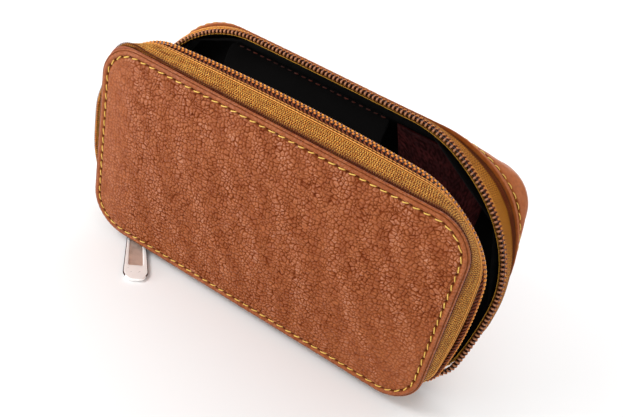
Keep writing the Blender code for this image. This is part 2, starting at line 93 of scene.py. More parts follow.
def bell(value, centre, width, power=2):
    return np.exp(-((value - centre) / width) ** power)


def ramp(value, start, stop):
    """0 at start to 1 at stop, held beyond them."""
    return np.clip((value - start) / (stop - start), 0, 1)


def smoothstep(w):
    return w * w * (3 - 2 * w)


def circle(count):
    return np.linspace(0, 2 * np.pi, count, endpoint=False)


def squarish(value, power):
    """A sine or cosine pushed outwards, to square up a round section."""
    return np.sign(value) * np.abs(value) ** power


def xyz(x, y, z):
    return np.stack(np.broadcast_arrays(x, y, z), -1)


def outline_at(shape, inset, t):
    """Outline point (x, z) at stations t, which may be any numbers, inset by millimetres."""
    t = np.asarray(t, float) % N_ALL
    inset = np.zeros_like(t) + inset
    left, left_low, right = shape.left - inset, shape.left_low - inset, shape.right - inset
    bottom, top = shape.bottom + inset, shape.top - inset
    r_tl, r_tr, r_br, r_bl = (np.maximum(r - inset, 1.5) for r in shape[5:9])
    x, z = np.zeros_like(t), np.zeros_like(t)
    start = 0

    def span(count, point):
        nonlocal start
        on = (t >= start) & (t <= start + count)
        px, pz = point(np.clip((t - start) / count, 0, 1))
        x[on], z[on] = px[on], pz[on]
        start += count

    def straight(count, p, q):
        span(count, lambda w: (p[0] * (1 - w) + q[0] * w, p[1] * (1 - w) + q[1] * w))

    def bend(cx, cz, r, angle):
        span(N_CORNER, lambda w: (cx + r * np.cos(np.radians(angle - 90 * w)),
                                  cz + r * np.sin(np.radians(angle - 90 * w))))

    straight(N_BOTTOM, (0, bottom), (-left_low + r_bl, bottom))
    bend(-left_low + r_bl, bottom + r_bl, r_bl, 270)
    straight(N_SIDE, (-left_low, bottom + r_bl), (-left, top - r_tl))
    bend(-left + r_tl, top - r_tl, r_tl, 180)
    straight(N_TOP, (-left + r_tl, top), (right - r_tr, top))
    bend(right - r_tr, top - r_tr, r_tr, 90)
    straight(N_SIDE, (right, top - r_tr), (right, bottom + r_br))
    bend(right - r_br, bottom + r_br, r_br, 0)
    straight(N_BOTTOM, (right - r_br, bottom), (0, bottom))

    reach = 70      # the bows fade over this distance from the middle
    height = z - Z_MID
    up = shape.bow_top * (1 - np.minimum(np.abs(x) / reach, 1) ** 2)
    up = up * np.clip(height / (shape.top - Z_MID), 0, 1)
    to_right = shape.bow_right * (1 - np.minimum(np.abs(height) / 40, 1) ** 2)
    to_left = shape.bow_left * (1 - np.minimum(np.abs(z - 55) / 25, 1) ** 2) ** 2
    side = np.where(x > 0, to_right * np.minimum(x / reach, 1),
                    -to_left * np.minimum(-x / reach, 1))
    return x + side, z + up


def blend_points(a, b, w):
    return a[0] * (1 - w) + b[0] * w, a[1] * (1 - w) + b[1] * w


def slack(t):
    """Bulge of the front half's soft edge, up its left side and round the top left corner."""
    t = np.asarray(t, float) % N_ALL
    side = bell(t, 14.6, 1.9, 4)
    return 5.0 * side + 2.6 * bell(t, 22.4, 2.7) * (1 - side)


def tuck(t):
    """Where the back half's tape is drawn in under the lip: its left side and top."""
    return np.interp(np.asarray(t, float) % N_ALL, [9, 12, 28, 32, 35, 37.5],
                     [0, 1, 1, 0.5, 0.35, 0])


def front_ring(depth, inset, t):
    """Outer surface of the front half's soft edge at a depth."""
    w = np.clip((EDGE_D - depth) / (EDGE_D - TIP_D), 0, 1)
    swell = 0.25 * np.sin(np.pi * w) + slack(t) * np.sin(np.pi * w ** 0.3) * (1 - w)
    return blend_points(outline_at(FRONT_FACE, inset - swell, t),
                        outline_at(FRONT_TIPS, inset - swell, t), w)


def back_ring(depth, inset, t):
    """Outer surface of the back half's side, fuller at the top right corner."""
    depth = depth + 0 * np.asarray(t, float)
    corner = 2.1 * bell(np.asarray(t, float) % N_ALL, 38.2, 1.9)
    inset = inset - corner * np.clip(np.minimum((depth - 6.0) / 8.4, (19.0 - depth) / 4.6), 0, 1)
    lip = outline_at(BACK_LIP, inset, t)
    low = blend_points(outline_at(BACK_TIPS, inset, t), lip, ramp(depth, TIP_D, LIP_D))
    high = blend_points(lip, outline_at(BACK_WALL, inset, t), ramp(depth, LIP_D, WALL_D))
    return tuple(np.where(depth <= LIP_D, a, b) for a, b in zip(low, high))


Half = namedtuple("Half", "name body sign ring tips start end")     # start, end: zip's stations
FRONT = Half("front", "front_half", -1, front_ring, FRONT_TIPS,
             BOTTOM_LEFT - 0.35, BOTTOM_RIGHT + 1.35)
BACK = Half("back", "back_half", 1, back_ring, BACK_TIPS,
            BOTTOM_LEFT + N_CORNER // 2, BOTTOM_RIGHT + 1.35)


# ---------------------------------------------------------------- paths
def arc_table(path, t0, t1, count=12001):
    """Stations along a path, and the distance run at each."""
    stations = np.linspace(t0, t1, count)
    x, z = path(stations)
    return stations, np.concatenate([[0], np.cumsum(np.hypot(np.diff(x), np.diff(z)))])


def walk(path, t0, t1, pitch=None, count=None):
    """Stations evenly spaced by distance along a path."""
    stations, dist = arc_table(path, t0, t1, 6001)
    if count is None:
        count = max(2, int(round(dist[-1] / pitch)))
    return np.interp(np.linspace(0, dist[-1], count + 1), dist, stations)


def tangents(path, t, behind, ahead):
    """Unit (x, z) direction of a path, taken between stations t - behind and t + ahead."""
    delta = np.stack(path(t + ahead)) - np.stack(path(t - behind))
    return delta / np.hypot(*delta)


def outward_sign(nx, nz, x, z):
    return np.sign(np.mean(nx * x + nz * (z - Z_MID)))


Seam = namedtuple("Seam", "path stations dist count pitch")


def seam_along(path, t0, t1, pitch, whole=int):
    """A seam with a whole number of stitches, close to the wanted pitch."""
    stations, dist = arc_table(path, t0, t1)
    count = int(whole(dist[-1] / pitch))
    return Seam(path, stations, dist, count, dist[-1] / count)


FACE_SEAM = seam_along(lambda t: outline_at(FRONT_FACE, SEAM_INSET, t), 0, N_ALL,
                       SEAM_PITCH, round)
LIP_SEAM = seam_along(lambda t: back_ring(LIP_SEAM_D, 0.0, t), 0, N_ALL, SEAM_PITCH, round)


# ---------------------------------------------------------------- meshes
def turned(points, body):
    """Turns a body's local points about the fold into the row frame, still in millimetres."""
    lean = math.radians(LEAN.get(body, 0.0))
    c, s = math.cos(lean), math.sin(lean)
    x, y, z = np.moveaxis(np.asarray(points, float), -1, 0)
    return np.stack([x, y * c - z * s, y * s + z * c], -1)


def grid_faces(rows, cols, wrap_cols=False, first=0):
    i = np.arange(rows - 1)
    j = np.arange(cols if wrap_cols else cols - 1)
    i, j = np.meshgrid(i, j, indexing="ij")
    j2 = (j + 1) % cols
    quads = np.stack([i * cols + j, i * cols + j2, (i + 1) * cols + j2, (i + 1) * cols + j], -1)
    return quads.reshape(-1, 4) + first


def tube_faces(count, sides, wrap=False):
    faces = grid_faces(count, sides, True).tolist()
    if wrap:
        last = (count - 1) * sides
        for k in range(sides):
            k2 = (k + 1) % sides
            faces.append([last + k, last + k2, k2, k])
        return faces
    return faces + [list(range(sides)), [(count - 1) * sides + k for k in range(sides)]]


def tube_mesh(points, wrap=False):
    """Closed sections joined along stations; points is (stations, section, 3)."""
    return points.reshape(-1, 3), tube_faces(*points.shape[:2], wrap)


def repeated(faces, step, count):
    return [[v + k * step for v in face] for k in range(count) for face in faces]


def skin_faces(grid_shape, loop, rings):
    """Faces of a gridded panel whose rim runs on through rings of vertices to a cap."""
    faces = grid_faces(*grid_shape).tolist()
    last = loop
    for k in range(rings):
        now = grid_shape[0] * grid_shape[1] + k * len(loop) + np.arange(len(loop))
        faces += np.stack([last, np.roll(last, -1), np.roll(now, -1), now], 1).tolist()
        last = now
    return faces + [last[::-1].tolist()]


def mesh_piece(name, points, faces, mat, body, slot, replaces=(), attrs=None, sharp=None):
    """Makes a closed mesh object, faces outward, from a body's local points."""
    verts = turned(points, body).reshape(-1, 3) * MM
    me = bpy.data.meshes.new(name)
    me.from_pydata(verts, [], [list(map(int, face)) for face in faces])
    me.update()
    me.calc_loop_triangles()
    tris = np.zeros(len(me.loop_triangles) * 3, np.int32)
    me.loop_triangles.foreach_get("vertices", tris)
    p = verts[tris.reshape(-1, 3)]
    if np.einsum("ij,ij->i", p[:, 0], np.cross(p[:, 1], p[:, 2])).sum() < 0:
        me.flip_normals()
    me.shade_smooth()
    if sharp:
        me.set_sharp_from_angle(angle=math.radians(sharp))
    for key, values in (attrs or {}).items():
        layer = me.attributes.new(key, "FLOAT", "POINT")
        layer.data.foreach_set("value", np.asarray(values, np.float32).ravel())
    me.materials.append(mat)
    ob = bpy.data.objects.new(name, me)
    bpy.context.scene.collection.objects.link(ob)
    if body:
        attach(ob, body)
    if replaces:
        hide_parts(*replaces)
    return ob


def sweep(ring, section, stations, sign=1):
    """A (depth, inset) section swept along a ring: (stations, section, 3)."""
    columns = []
    for depth, inset in section:
        x, z = ring(depth, inset, stations)
        columns.append(xyz(x, sign * depth, z))
    return np.stack(columns, 1)


def rounded(polygon, radius, steps):
    """Rounds the corners of a closed (u, v) polygon."""
    out = []
    for k in range(len(polygon)):
        before, corner, after = (np.array(polygon[j % len(polygon)], float)
                                 for j in (k - 1, k, k + 1))
        u, v = before - corner, after - corner
        len_u, len_v = np.linalg.norm(u), np.linalg.norm(v)
        cut = min(radius, len_u * 0.45, len_v * 0.45)
        a, b = corner + u / len_u * cut, corner + v / len_v * cut
        for j in range(steps + 1):
            w = j / steps
            out.append(tuple(a * (1 - w) ** 2 + corner * 2 * w * (1 - w) + b * w ** 2))
    return out


def fill_outline(path, pitch):
    """Four-sided grid filling an outline, its rim's vertex loop and the rim's stations."""
    low_left = N_BOTTOM + N_CORNER / 2
    top_left = low_left + N_CORNER + N_SIDE
    top_right = top_left + N_CORNER + N_TOP
    low_right = top_right + N_CORNER + N_SIDE
    t_left = walk(path, low_left, top_left, pitch)
    t_top = walk(path, top_left, top_right, pitch)
    t_right = walk(path, top_right, low_right, count=len(t_left) - 1)
    t_low = walk(path, low_right, low_left + N_ALL, count=len(t_top) - 1)
    left, top, right, low = (np.stack(path(t), -1) for t in (t_left, t_top, t_right, t_low))
    right, low = right[::-1], low[::-1]
    u = np.linspace(0, 1, len(t_top))[None, :, None]
    v = np.linspace(0, 1, len(t_left))[:, None, None]
    grid = (1 - u) * left[:, None] + u * right[:, None] + (1 - v) * low[None] + v * top[None]
    grid -= ((1 - u) * (1 - v) * left[0] + u * (1 - v) * right[0]
             + (1 - u) * v * left[-1] + u * v * right[-1])
    rows, cols = grid.shape[:2]
    idx = np.arange(rows * cols).reshape(rows, cols)
    loop = np.concatenate([idx[:, 0], idx[-1, 1:], idx[-2::-1, -1], idx[0, -2:0:-1]])
    return grid, loop, np.concatenate([t_left, t_top[1:], t_right[1:], t_low[1:-1]])


def nearest(points, targets):
    """Distance from each plan point to the closest target."""
    tree = kdtree.KDTree(len(targets))
    for k, (x, z) in enumerate(targets):
        tree.insert((x, z, 0), k)
    tree.balance()
    return np.array([tree.find((x, z, 0))[2] for x, z in points])


# ---------------------------------------------------------------- grain
def cells(points, pitch, seed, jitter=0.9):
    """Cell pattern: distance to the nearest wall, a number per cell, distance to its centre."""
    points = np.asarray(points, float) / pitch
    dim = points.shape[1]
    low = np.floor(points.min(0)).astype(int) - 3
    size = np.floor(points.max(0)).astype(int) + 4 - low
    rng = np.random.default_rng(seed)
    offset = 0.5 + jitter * (rng.random((*size, dim)) - 0.5)
    number = rng.random(tuple(size))
    base = np.floor(points).astype(int) - low
    steps = np.stack(np.meshgrid(*[[-1, 0, 1]] * dim, indexing="ij"), -1).reshape(-1, dim)
    best = np.full(len(points), 1e9)
    own = np.zeros_like(points)
    who = np.zeros(len(points))
    centres = []
    for step in steps:
        cell = tuple((base + step).T)
        centre = offset[cell] + (base + step + low)
        centres.append(centre)
        square = ((centre - points) ** 2).sum(1)
        closer = square < best
        best[closer], own[closer], who[closer] = square[closer], centre[closer], number[cell][closer]
    wall = np.full(len(points), 1e9)
    for centre in centres:
        across = centre - own
        length = np.sqrt((across ** 2).sum(1))
        other = length > 1e-6
        gap = (((centre + own) / 2 - points) * across).sum(1) / np.where(other, length, 1)
        wall = np.where(other, np.minimum(wall, gap), wall)
    return wall * pitch, who, np.sqrt(best) * pitch


def waves(points, seed, scale):
    """Smooth noise from five sines."""
    rng = np.random.default_rng(seed)
    out = np.zeros(len(points))
    for _ in range(5):
        k = rng.normal(size=points.shape[1])
        k *= (0.6 + rng.random()) * 2 * np.pi / scale / np.linalg.norm(k)
        out += np.sin(points @ k + rng.random() * 6.28)
    return out / 5


def pebble(points, pitch=1.55, depth=0.26, seed=4, thin=0.205):
    """Leather pebble: height, and a crease mask that paints shade into the creases, negative where a
    highlight is painted on the crowns.
    """
    points = np.asarray(points, float)

    def noise(offset, scale):
        return waves(points, seed + offset, scale)

    dims = range(points.shape[1])
    broad = np.stack([noise(k, 9.0) for k in dims], 1)
    tight = np.stack([noise(20 + k, 2.6) for k in dims], 1)
    warped = points + 0.9 * broad + 0.34 * tight
    wall, who, centre = cells(warped, pitch, seed, 0.78)
    minor = cells(warped + 7.7, pitch * 0.50, seed + 9)[0]
    wall, minor = np.maximum(wall, 0), np.maximum(minor, 0)
    # creases between pebbles
    big = bell(wall, 0, thin * (1 + 0.3 * noise(50, 7.0)), 1.5) * (0.88 + 0.3 * noise(52, 5.0))
    # long slanting creases, 11 mm apart, present only in patches
    slant = points[:, -1] * 0.77 - points[:, 0] * 0.64
    run = np.sin(2 * np.pi * (slant / 11.0 + 0.55 * noise(60, 26.0) + 0.10 * noise(63, 6.0)))
    long = bell(np.abs(run) * 1.75, 0, 0.20, 1.5) * np.clip(2.2 * noise(61, 17.0) + 0.15, 0, 1)
    big = np.maximum(np.clip(big, 0, 1), 0.95 * long)
    # finer creases that split some pebbles, and the shoulder beside each crease
    small = bell(minor, 0, 0.7 * thin, 1.4) * (0.10 + 0.32 * (who > 0.5))
    edge = bell(wall, 0.42, 0.17) * (1 - 0.8 * small)
    dome = 1 - np.clip(1.5 * centre / pitch, 0, 1) ** 2
    height = depth * (-big - 0.34 * small + 0.20 * edge + 0.45 * dome + 0.22 * (who - 0.5))
    # a highlight is painted in patches on the shoulders beside the creases, taken off the crease
    # mask
    highlight_patches = np.clip(0.45 + 1.1 * noise(70, 13.0), 0.05, 1)
    highlight_mask = highlight_patches * (0.5 + 0.8 * np.clip(2 * who - 1, 0, 1)) * edge
    return height, np.clip(0.92 * big + 0.45 * small, 0, 1) - highlight_mask


# ---------------------------------------------------------------- materials
class Mat:
    """A Principled material, with shorthands for the nodes that feed it."""

    def __init__(self, name, rough=0.5, metal=0.0, spec=0.5):
        self.material = bpy.data.materials.new(name)
        self.material.use_nodes = True
        self.tree = self.material.node_tree
        self.shader = self.tree.nodes["Principled BSDF"]
        self.set(Roughness=rough, Metallic=metal, Specular_IOR_Level=spec)

    @cached_property
    def coords(self):
        return self.node("TexCoord", {}, out="Object")

    def put(self, socket, value):
        if isinstance(value, bpy.types.NodeSocket):
            self.tree.links.new(value, socket)
        elif isinstance(value, tuple) and len(value) == 3 and socket.type == "RGBA":
            socket.default_value = (*value, 1)
        else:
            socket.default_value = value

    def set(self, **inputs):
        for key, value in inputs.items():
            self.put(self.shader.inputs[key.replace("_", " ")], value)
        return self.material

    def node(self, kind, inputs, out=0, **props):
        node = self.tree.nodes.new("ShaderNode" + kind)
        for key, value in props.items():
            setattr(node, key, value)
        for key, value in inputs.items():
            self.put(node.inputs[key], value)
        return node.outputs[out]

    def noise(self, scale, detail=3.0, vec=None):
        return self.node("TexNoise", {"Vector": vec or self.coords, "Scale": scale,
                                      "Detail": detail, "Roughness": 0.55, "Distortion": 0.0})

    def voronoi(self, scale, feature="F1"):
        return self.node("TexVoronoi", {"Vector": self.coords, "Scale": scale},
                         out="Distance", feature=feature)

    def bands(self, scale, direction):
        return self.node("TexWave", {"Vector": self.coords, "Scale": scale, "Distortion": 1.5},
                         out=1, wave_type="BANDS", bands_direction=direction)

    def stretched(self, scale):
        return self.node("Mapping", {"Vector": self.coords, "Scale": scale})

    def math(self, operation, a, b=0.0, clamp=False):
        return self.node("Math", {0: a, 1: b, 2: 0.0}, operation=operation, use_clamp=clamp)

    def add(self, a, b, clamp=False):
        return self.math("ADD", a, b, clamp)

    def sub(self, a, b):
        return self.math("SUBTRACT", a, b)

    def mul(self, a, b, clamp=False):
        return self.math("MULTIPLY", a, b, clamp)

    def wave(self, value, length, operation="SINE"):
        return self.math(operation, self.mul(value, 2 * math.pi / length))

    def attr(self, name):
        return self.node("Attribute", {}, out=2, attribute_name=name, attribute_type="GEOMETRY")

    def remap(self, value, span, to=(0.0, 1.0)):
        return self.node("MapRange", {0: value, 1: span[0], 2: span[1], 3: to[0], 4: to[1]},
                         clamp=True)

    def mix(self, factor, a, b):
        return self.node("Mix", {0: factor, 6: a, 7: b}, out=2, data_type="RGBA")

    def bump(self, height, strength, dist):
        return self.node("Bump", {"Strength": strength, "Distance": dist, "Height": height},
                         out="Normal")


def leather(name, base, deep, light, rough=0.42, coat=0.12, spec=0.36,
            highlight_tint=(0.10, 0.085, 0.065)):
    """Grained leather; the crease mask paints shade into the folds and, where it is negative, a
    highlight on the crowns; a second mask paints shade into stitch holes, grooves and undersides.
    """
    m = Mat(name, spec=spec)
    crease, wear = m.attr("crease"), m.attr("wear")
    fine = m.noise(900)
    # colour of the painted highlight: the light colour raised, with a tint added
    highlight_colour = tuple(min(1.0, c * 1.15 + g) for c, g in zip(light, highlight_tint))
    col = m.mix(m.remap(m.noise(300, detail=4), (0.35, 0.68)), base, light)
    col = m.mix(m.remap(fine, (0.35, 0.7), to=(0.0, 0.28)), col, deep)
    # painted highlight where the crease mask is negative
    col = m.mix(m.mul(crease, -0.62, clamp=True), col, highlight_colour)
    # painted shade in the creases
    col = m.mix(m.mul(crease, 0.95, clamp=True), col, deep)
    # painted shade in stitch holes, grooves and undersides
    col = m.mix(m.mul(wear, 0.75, clamp=True), col, tuple(0.35 * c for c in deep))
    wrinkle = m.remap(m.voronoi(1500, "DISTANCE_TO_EDGE"), (0, 0.09))
    height = m.add(m.mul(m.voronoi(2300), 0.5), m.mul(wrinkle, 0.8))
    height = m.add(height, m.mul(fine, 0.8))
    uneven = m.remap(m.noise(160), (0.3, 0.7), to=(rough - 0.07, rough + 0.09))
    dull = m.add(crease, wear, clamp=True)
    return m.set(Base_Color=col, Roughness=m.add(uneven, m.mul(crease, 0.2)),
                 Specular_IOR_Level=m.remap(dull, (0.0, 0.7), to=(spec, 0.05)),
                 Normal=m.bump(height, strength=0.6, dist=0.00009),
                 Coat_Weight=m.remap(dull, (0.0, 0.6), to=(coat, 0.0)), Coat_Roughness=0.22)


def thread_mat(name, base, dark, patchy=0.25):
    m = Mat(name, rough=0.5, spec=0.4 if base[0] > 0.25 else 0.12)
    fibre = m.noise(5200, detail=2)
    col = m.mix(m.remap(fibre, (0.3, 0.7)), dark, base)
    col = m.mix(m.remap(m.noise(130, detail=2), (0.42, 0.66), to=(0.0, patchy)), col, dark)
    return m.set(Base_Color=col, Roughness=m.remap(m.noise(2500), (0.3, 0.7), to=(0.38, 0.6)),
                 Normal=m.bump(fibre, strength=0.4, dist=0.00006),
                 Sheen_Weight=0.10, Sheen_Roughness=0.4,
                 Sheen_Tint=tuple(min(1.0, 1.2 * c ** 0.5) for c in base))


def tape_mat(name, base, dark, rib_highlight, squiggle=1.0, shadow_span=(11.2, 14.4)):
    """Woven tape; 'along' and 'across' are millimetres on it. Shade is painted between its threads
    and highlights on its ribs, and a painted shadow darkens it over a span of 'across' where it runs
    in under the leather.
    """
    m = Mat(name, rough=0.6, spec=0.14)
    along, across = m.attr("along"), m.attr("across")
    drift = m.mul(m.sub(m.noise(620), 0.5), 1.0)
    bend = m.mul(m.wave(across, 1.5), 0.26)
    ribs = m.wave(m.add(m.add(along, bend), drift), RIB_PITCH)
    rows = m.wave(m.add(across, m.mul(drift, 0.5)), 0.8)
    weft = m.mul(m.wave(along, 0.42), m.wave(across, 0.42))
    lines = m.wave(m.sub(across, LINE_D), RIB_PITCH, "COSINE")
    near_coil = m.remap(across, (6.3, 7.0), to=(1.0, 0.0))
    weave = m.add(m.mul(ribs, 0.8), m.mul(rows, 0.45))
    weave = m.add(m.mul(weave, squiggle), m.mul(weft, 1.0 - 0.6 * squiggle))
    height = m.add(m.mul(weave, m.sub(1.0, near_coil)), m.mul(lines, near_coil))
    height = m.add(height, m.mul(m.sub(m.noise(2600, detail=2), 0.5), 0.3))
    # painted shade in the gaps of the weave and painted highlights on the rib tops
    col = m.mix(m.remap(height, (-0.50, 0.30)), dark, base)
    col = m.mix(m.remap(height, (0.22, 0.72)), col, rib_highlight)
    # painted shadow where the tape runs in under the leather's edge, over random darker patches
    shade = m.add(m.remap(m.noise(120), (0.35, 0.7), to=(0.0, 0.22)),
                  m.remap(across, shadow_span, to=(0.0, 0.9)), clamp=True)
    return m.set(Base_Color=m.mix(shade, col, dark),
                 Normal=m.bump(height, strength=1.0, dist=0.0003),
                 Sheen_Weight=0.06, Sheen_Roughness=0.35, Sheen_Tint=(1.0, 0.7, 0.25))


def fabric(name, base, light, scale, strength=0.5):
    m = Mat(name, rough=0.85, spec=0.08)
    height = m.add(m.mul(m.bands(scale, "X"), 0.5), m.mul(m.bands(scale, "Z"), 0.5))
    height = m.add(height, m.mul(m.noise(2600, detail=2), 0.6))
    return m.set(Base_Color=m.mix(m.remap(height, (0.5, 1.3)), base, light),
                 Normal=m.bump(height, strength, dist=0.00012),
                 Sheen_Weight=0.02, Sheen_Roughness=0.5)


def coil_mat(name, base, light, tip):
    """Nylon; a highlight is painted on the loops' heads, where the 'head' attribute is high."""
    m = Mat(name, rough=0.3, spec=0.4)
    col = m.mix(m.remap(m.noise(700), (0.35, 0.7)), base, light)
    return m.set(Base_Color=m.mix(m.attr("head"), col, tip), Specular_Tint=(1.0, 0.62, 0.46),
                 Roughness=m.remap(m.noise(1500), (0.3, 0.7), to=(0.24, 0.42)),
                 Normal=m.bump(m.noise(3000), strength=0.15, dist=0.00005),
                 Coat_Weight=0.06, Coat_Roughness=0.3)


def metal_mat(name, base, dark, rough, metal=1.0):
    """Brushed metal with fine scratches."""
    m = Mat(name, rough=rough, metal=metal)
    brush = m.noise(420, detail=4, vec=m.stretched((1, 1, 6)))
    scratch = m.remap(m.noise(2400, detail=2, vec=m.stretched((1, 0.08, 1))), (0.55, 0.75))
    return m.set(Base_Color=m.mix(m.remap(m.noise(260), (0.45, 0.75), to=(0, 0.45)), base, dark),
                 Roughness=m.remap(brush, (0.3, 0.7), to=(rough - 0.06, rough + 0.12)),
                 Normal=m.bump(m.add(brush, m.mul(scratch, 0.5)), strength=0.08, dist=0.0001))


# each leather's last colour is the tint added into its painted highlight
M_TAN = leather("leather_tan", base=(0.285, 0.066, 0.011), deep=(0.070, 0.007, 0.0007),
                light=(0.36, 0.100, 0.024), rough=0.36, coat=0.06, spec=0.26,
                highlight_tint=(0.22, 0.21, 0.19))
M_BACK = leather("leather_back", base=(0.42, 0.098, 0.009), deep=(0.12, 0.016, 0.001),
                 light=(0.46, 0.130, 0.026), coat=0.30, spec=0.5, highlight_tint=(0.02, 0.02, 0.015))
M_EDGE = leather("leather_edge", base=(0.24, 0.046, 0.005), deep=(0.06, 0.007, 0.001),
                 light=(0.31, 0.070, 0.010))
M_DARK = leather("leather_dark", base=(0.024, 0.0016, 0.0022), deep=(0.004, 0.0008, 0.0008),
                 light=(0.050, 0.005, 0.005), rough=0.45, coat=0.0, spec=0.12,
                 highlight_tint=(0.02, 0.004, 0.004))
# threads: base colour, dark colour
M_THREAD = thread_mat("thread_yellow", (0.93, 0.66, 0.14), (0.50, 0.24, 0.03))
M_HEM = thread_mat("thread_hem", (0.30, 0.050, 0.022), (0.035, 0.006, 0.004), patchy=0.9)
M_CORD = thread_mat("thread_brown", (0.15, 0.026, 0.004), (0.04, 0.006, 0.002))
M_CHAIN = thread_mat("thread_chain", (0.98, 0.42, 0.035), (0.60, 0.17, 0.012))
M_CHAIN_LOW = thread_mat("thread_chain_low", (0.82, 0.27, 0.022), (0.40, 0.09, 0.008))
M_LINE = thread_mat("thread_line", (1.0, 0.50, 0.11), (0.50, 0.15, 0.02))
# each tape's last colour is the painted highlight on its ribs; its dark colour also paints shade in
# the weave's gaps
M_TAPE = tape_mat("zip_tape_weave", base=(0.92, 0.235, 0.004), dark=(0.12, 0.011, 0.0008),
                  rib_highlight=(1.0, 0.60, 0.13))
M_TAPE_BACK = tape_mat("zip_tape_plain", base=(0.86, 0.255, 0.004), dark=(0.15, 0.022, 0.001),
                       rib_highlight=(1.0, 0.50, 0.06), squiggle=0.45, shadow_span=(12.75, 13.1))
M_COIL = coil_mat("zip_coil_nylon", base=(0.085, 0.012, 0.003), light=(0.20, 0.040, 0.010),
                  tip=(0.80, 0.37, 0.18))
M_CORE = thread_mat("coil_core", (0.045, 0.007, 0.003), (0.015, 0.003, 0.002))
# metals: base colour, dark colour
M_PULL = metal_mat("nickel_pull", (1.0, 0.985, 0.96), (0.90, 0.87, 0.84), rough=0.32, metal=0.25)
M_NICKEL = metal_mat("nickel_plate", (0.90, 0.88, 0.85), (0.66, 0.62, 0.58), rough=0.16)
M_RIM = metal_mat("nickel_rim", (0.060, 0.012, 0.009), (0.020, 0.004, 0.004), rough=0.30)
M_RECESS = metal_mat("nickel_recess", (0.66, 0.50, 0.42), (0.30, 0.19, 0.13), rough=0.36,
                     metal=0.4)
# cloths: base colour, light colour
M_LINING = fabric("lining_black", (0.0020, 0.0017, 0.0017), (0.0055, 0.0048, 0.0048), scale=700)
M_FOAM = fabric("foam_grey", (0.05, 0.05, 0.05), (0.12, 0.12, 0.12), scale=300, strength=0.8)
M_BOARD = fabric("fibreboard", (0.22, 0.15, 0.09), (0.34, 0.26, 0.17), scale=90, strength=0.3)

# hidden padding and boards keep their CAD shape
for node_name, node_mat in {"front_foam_pad": M_FOAM, "back_foam_pad": M_FOAM,
                            "front_stiffener_board": M_BOARD,
                            "back_stiffener_board": M_BOARD}.items():
    node_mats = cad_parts[node_name].data.materials
    node_mats.clear()
    node_mats.append(node_mat)


# ================================================================ stitches
def sew(name, seam, y, facing, mat, body, slot, replaces=(), slant=0.08, cover=0.72, lift=0.22,
        sink=0.12, width=0.26, height=None, turns=1.5):
    """Two-ply stitches along a seam at y, each arched over the surface with its ends sunk.

    The surface faces -y or +y (facing -1 or 1), or outwards from the outline (facing 0).
    cover is the share of the pitch that shows; width and height are the thread's radii.
    """
    steps, sides = 9, 8
    height = height or width * 0.8
    u = np.linspace(0, 1, steps)
    jitter = np.random.default_rng(seam.count).uniform(-1, 1, (3, seam.count, 1))
    cover = cover + 0.06 * jitter[0]
    index = np.arange(seam.count)[:, None]
    dist = (index + 0.5 + 0.02 * jitter[1] - cover / 2 + cover * u) * seam.pitch
    t = np.interp(dist, seam.dist, seam.stations)
    x, z = seam.path(t)
    tx, tz = tangents(seam.path, t, 0, 0.01)
    zero = 0 * x
    if facing:
        up, across = xyz(zero, facing, zero), xyz(-tz, zero, tx)
    else:
        sign = outward_sign(-tz, tx, x, z)
        up, across = xyz(-tz * sign, zero, tx * sign), xyz(zero, 1.0, zero)
    aside = slant * (1 + 0.4 * jitter[2]) * (u - 0.5) * 2
    arch = lift * (1 - np.abs(2 * u - 1) ** 3.0)
    centre = xyz(x, y, z) + up * (arch - sink)[:, None] + across * aside[..., None]
    angle = circle(sides)
    twist = (u * turns * 2 * np.pi)[:, None]
    taper = np.clip(np.minimum(u, 1 - u) / 0.06, 0.25, 1)[:, None]
    ply = (1 + 0.16 * np.cos(2 * (angle - twist))) * taper
    points = (centre[:, :, None] + up[:, :, None] * (height * ply * np.sin(angle))[..., None]
              + across[:, :, None] * (width * ply * np.cos(angle))[..., None])
    faces = repeated(tube_faces(steps, sides), steps * sides, seam.count)
    mesh_piece(name, points, faces, mat, body, slot, replaces)


# ================================================================ front leather panel
def face_depth(inset):
    """Front face depth at a distance in from its edge, before the grain."""
    depth = FACE_D + CROWN * np.sin(0.5 * np.pi * np.minimum(inset / 40, 1))
    # a swell each side of the sewn groove, and a fine groove in the rolled edge
    depth = depth + 0.30 * bell(inset, 1.60, 0.62) - 0.40 * bell(inset, SEAM_INSET, 0.50)
    depth = depth + 0.10 * bell(inset, 4.6, 0.9) - 0.24 * bell(inset, 0.66, 0.17)
    return depth - 0.85 * (1 - np.sqrt(1 - ramp(inset, ROLL_R, 0.0) ** 2))


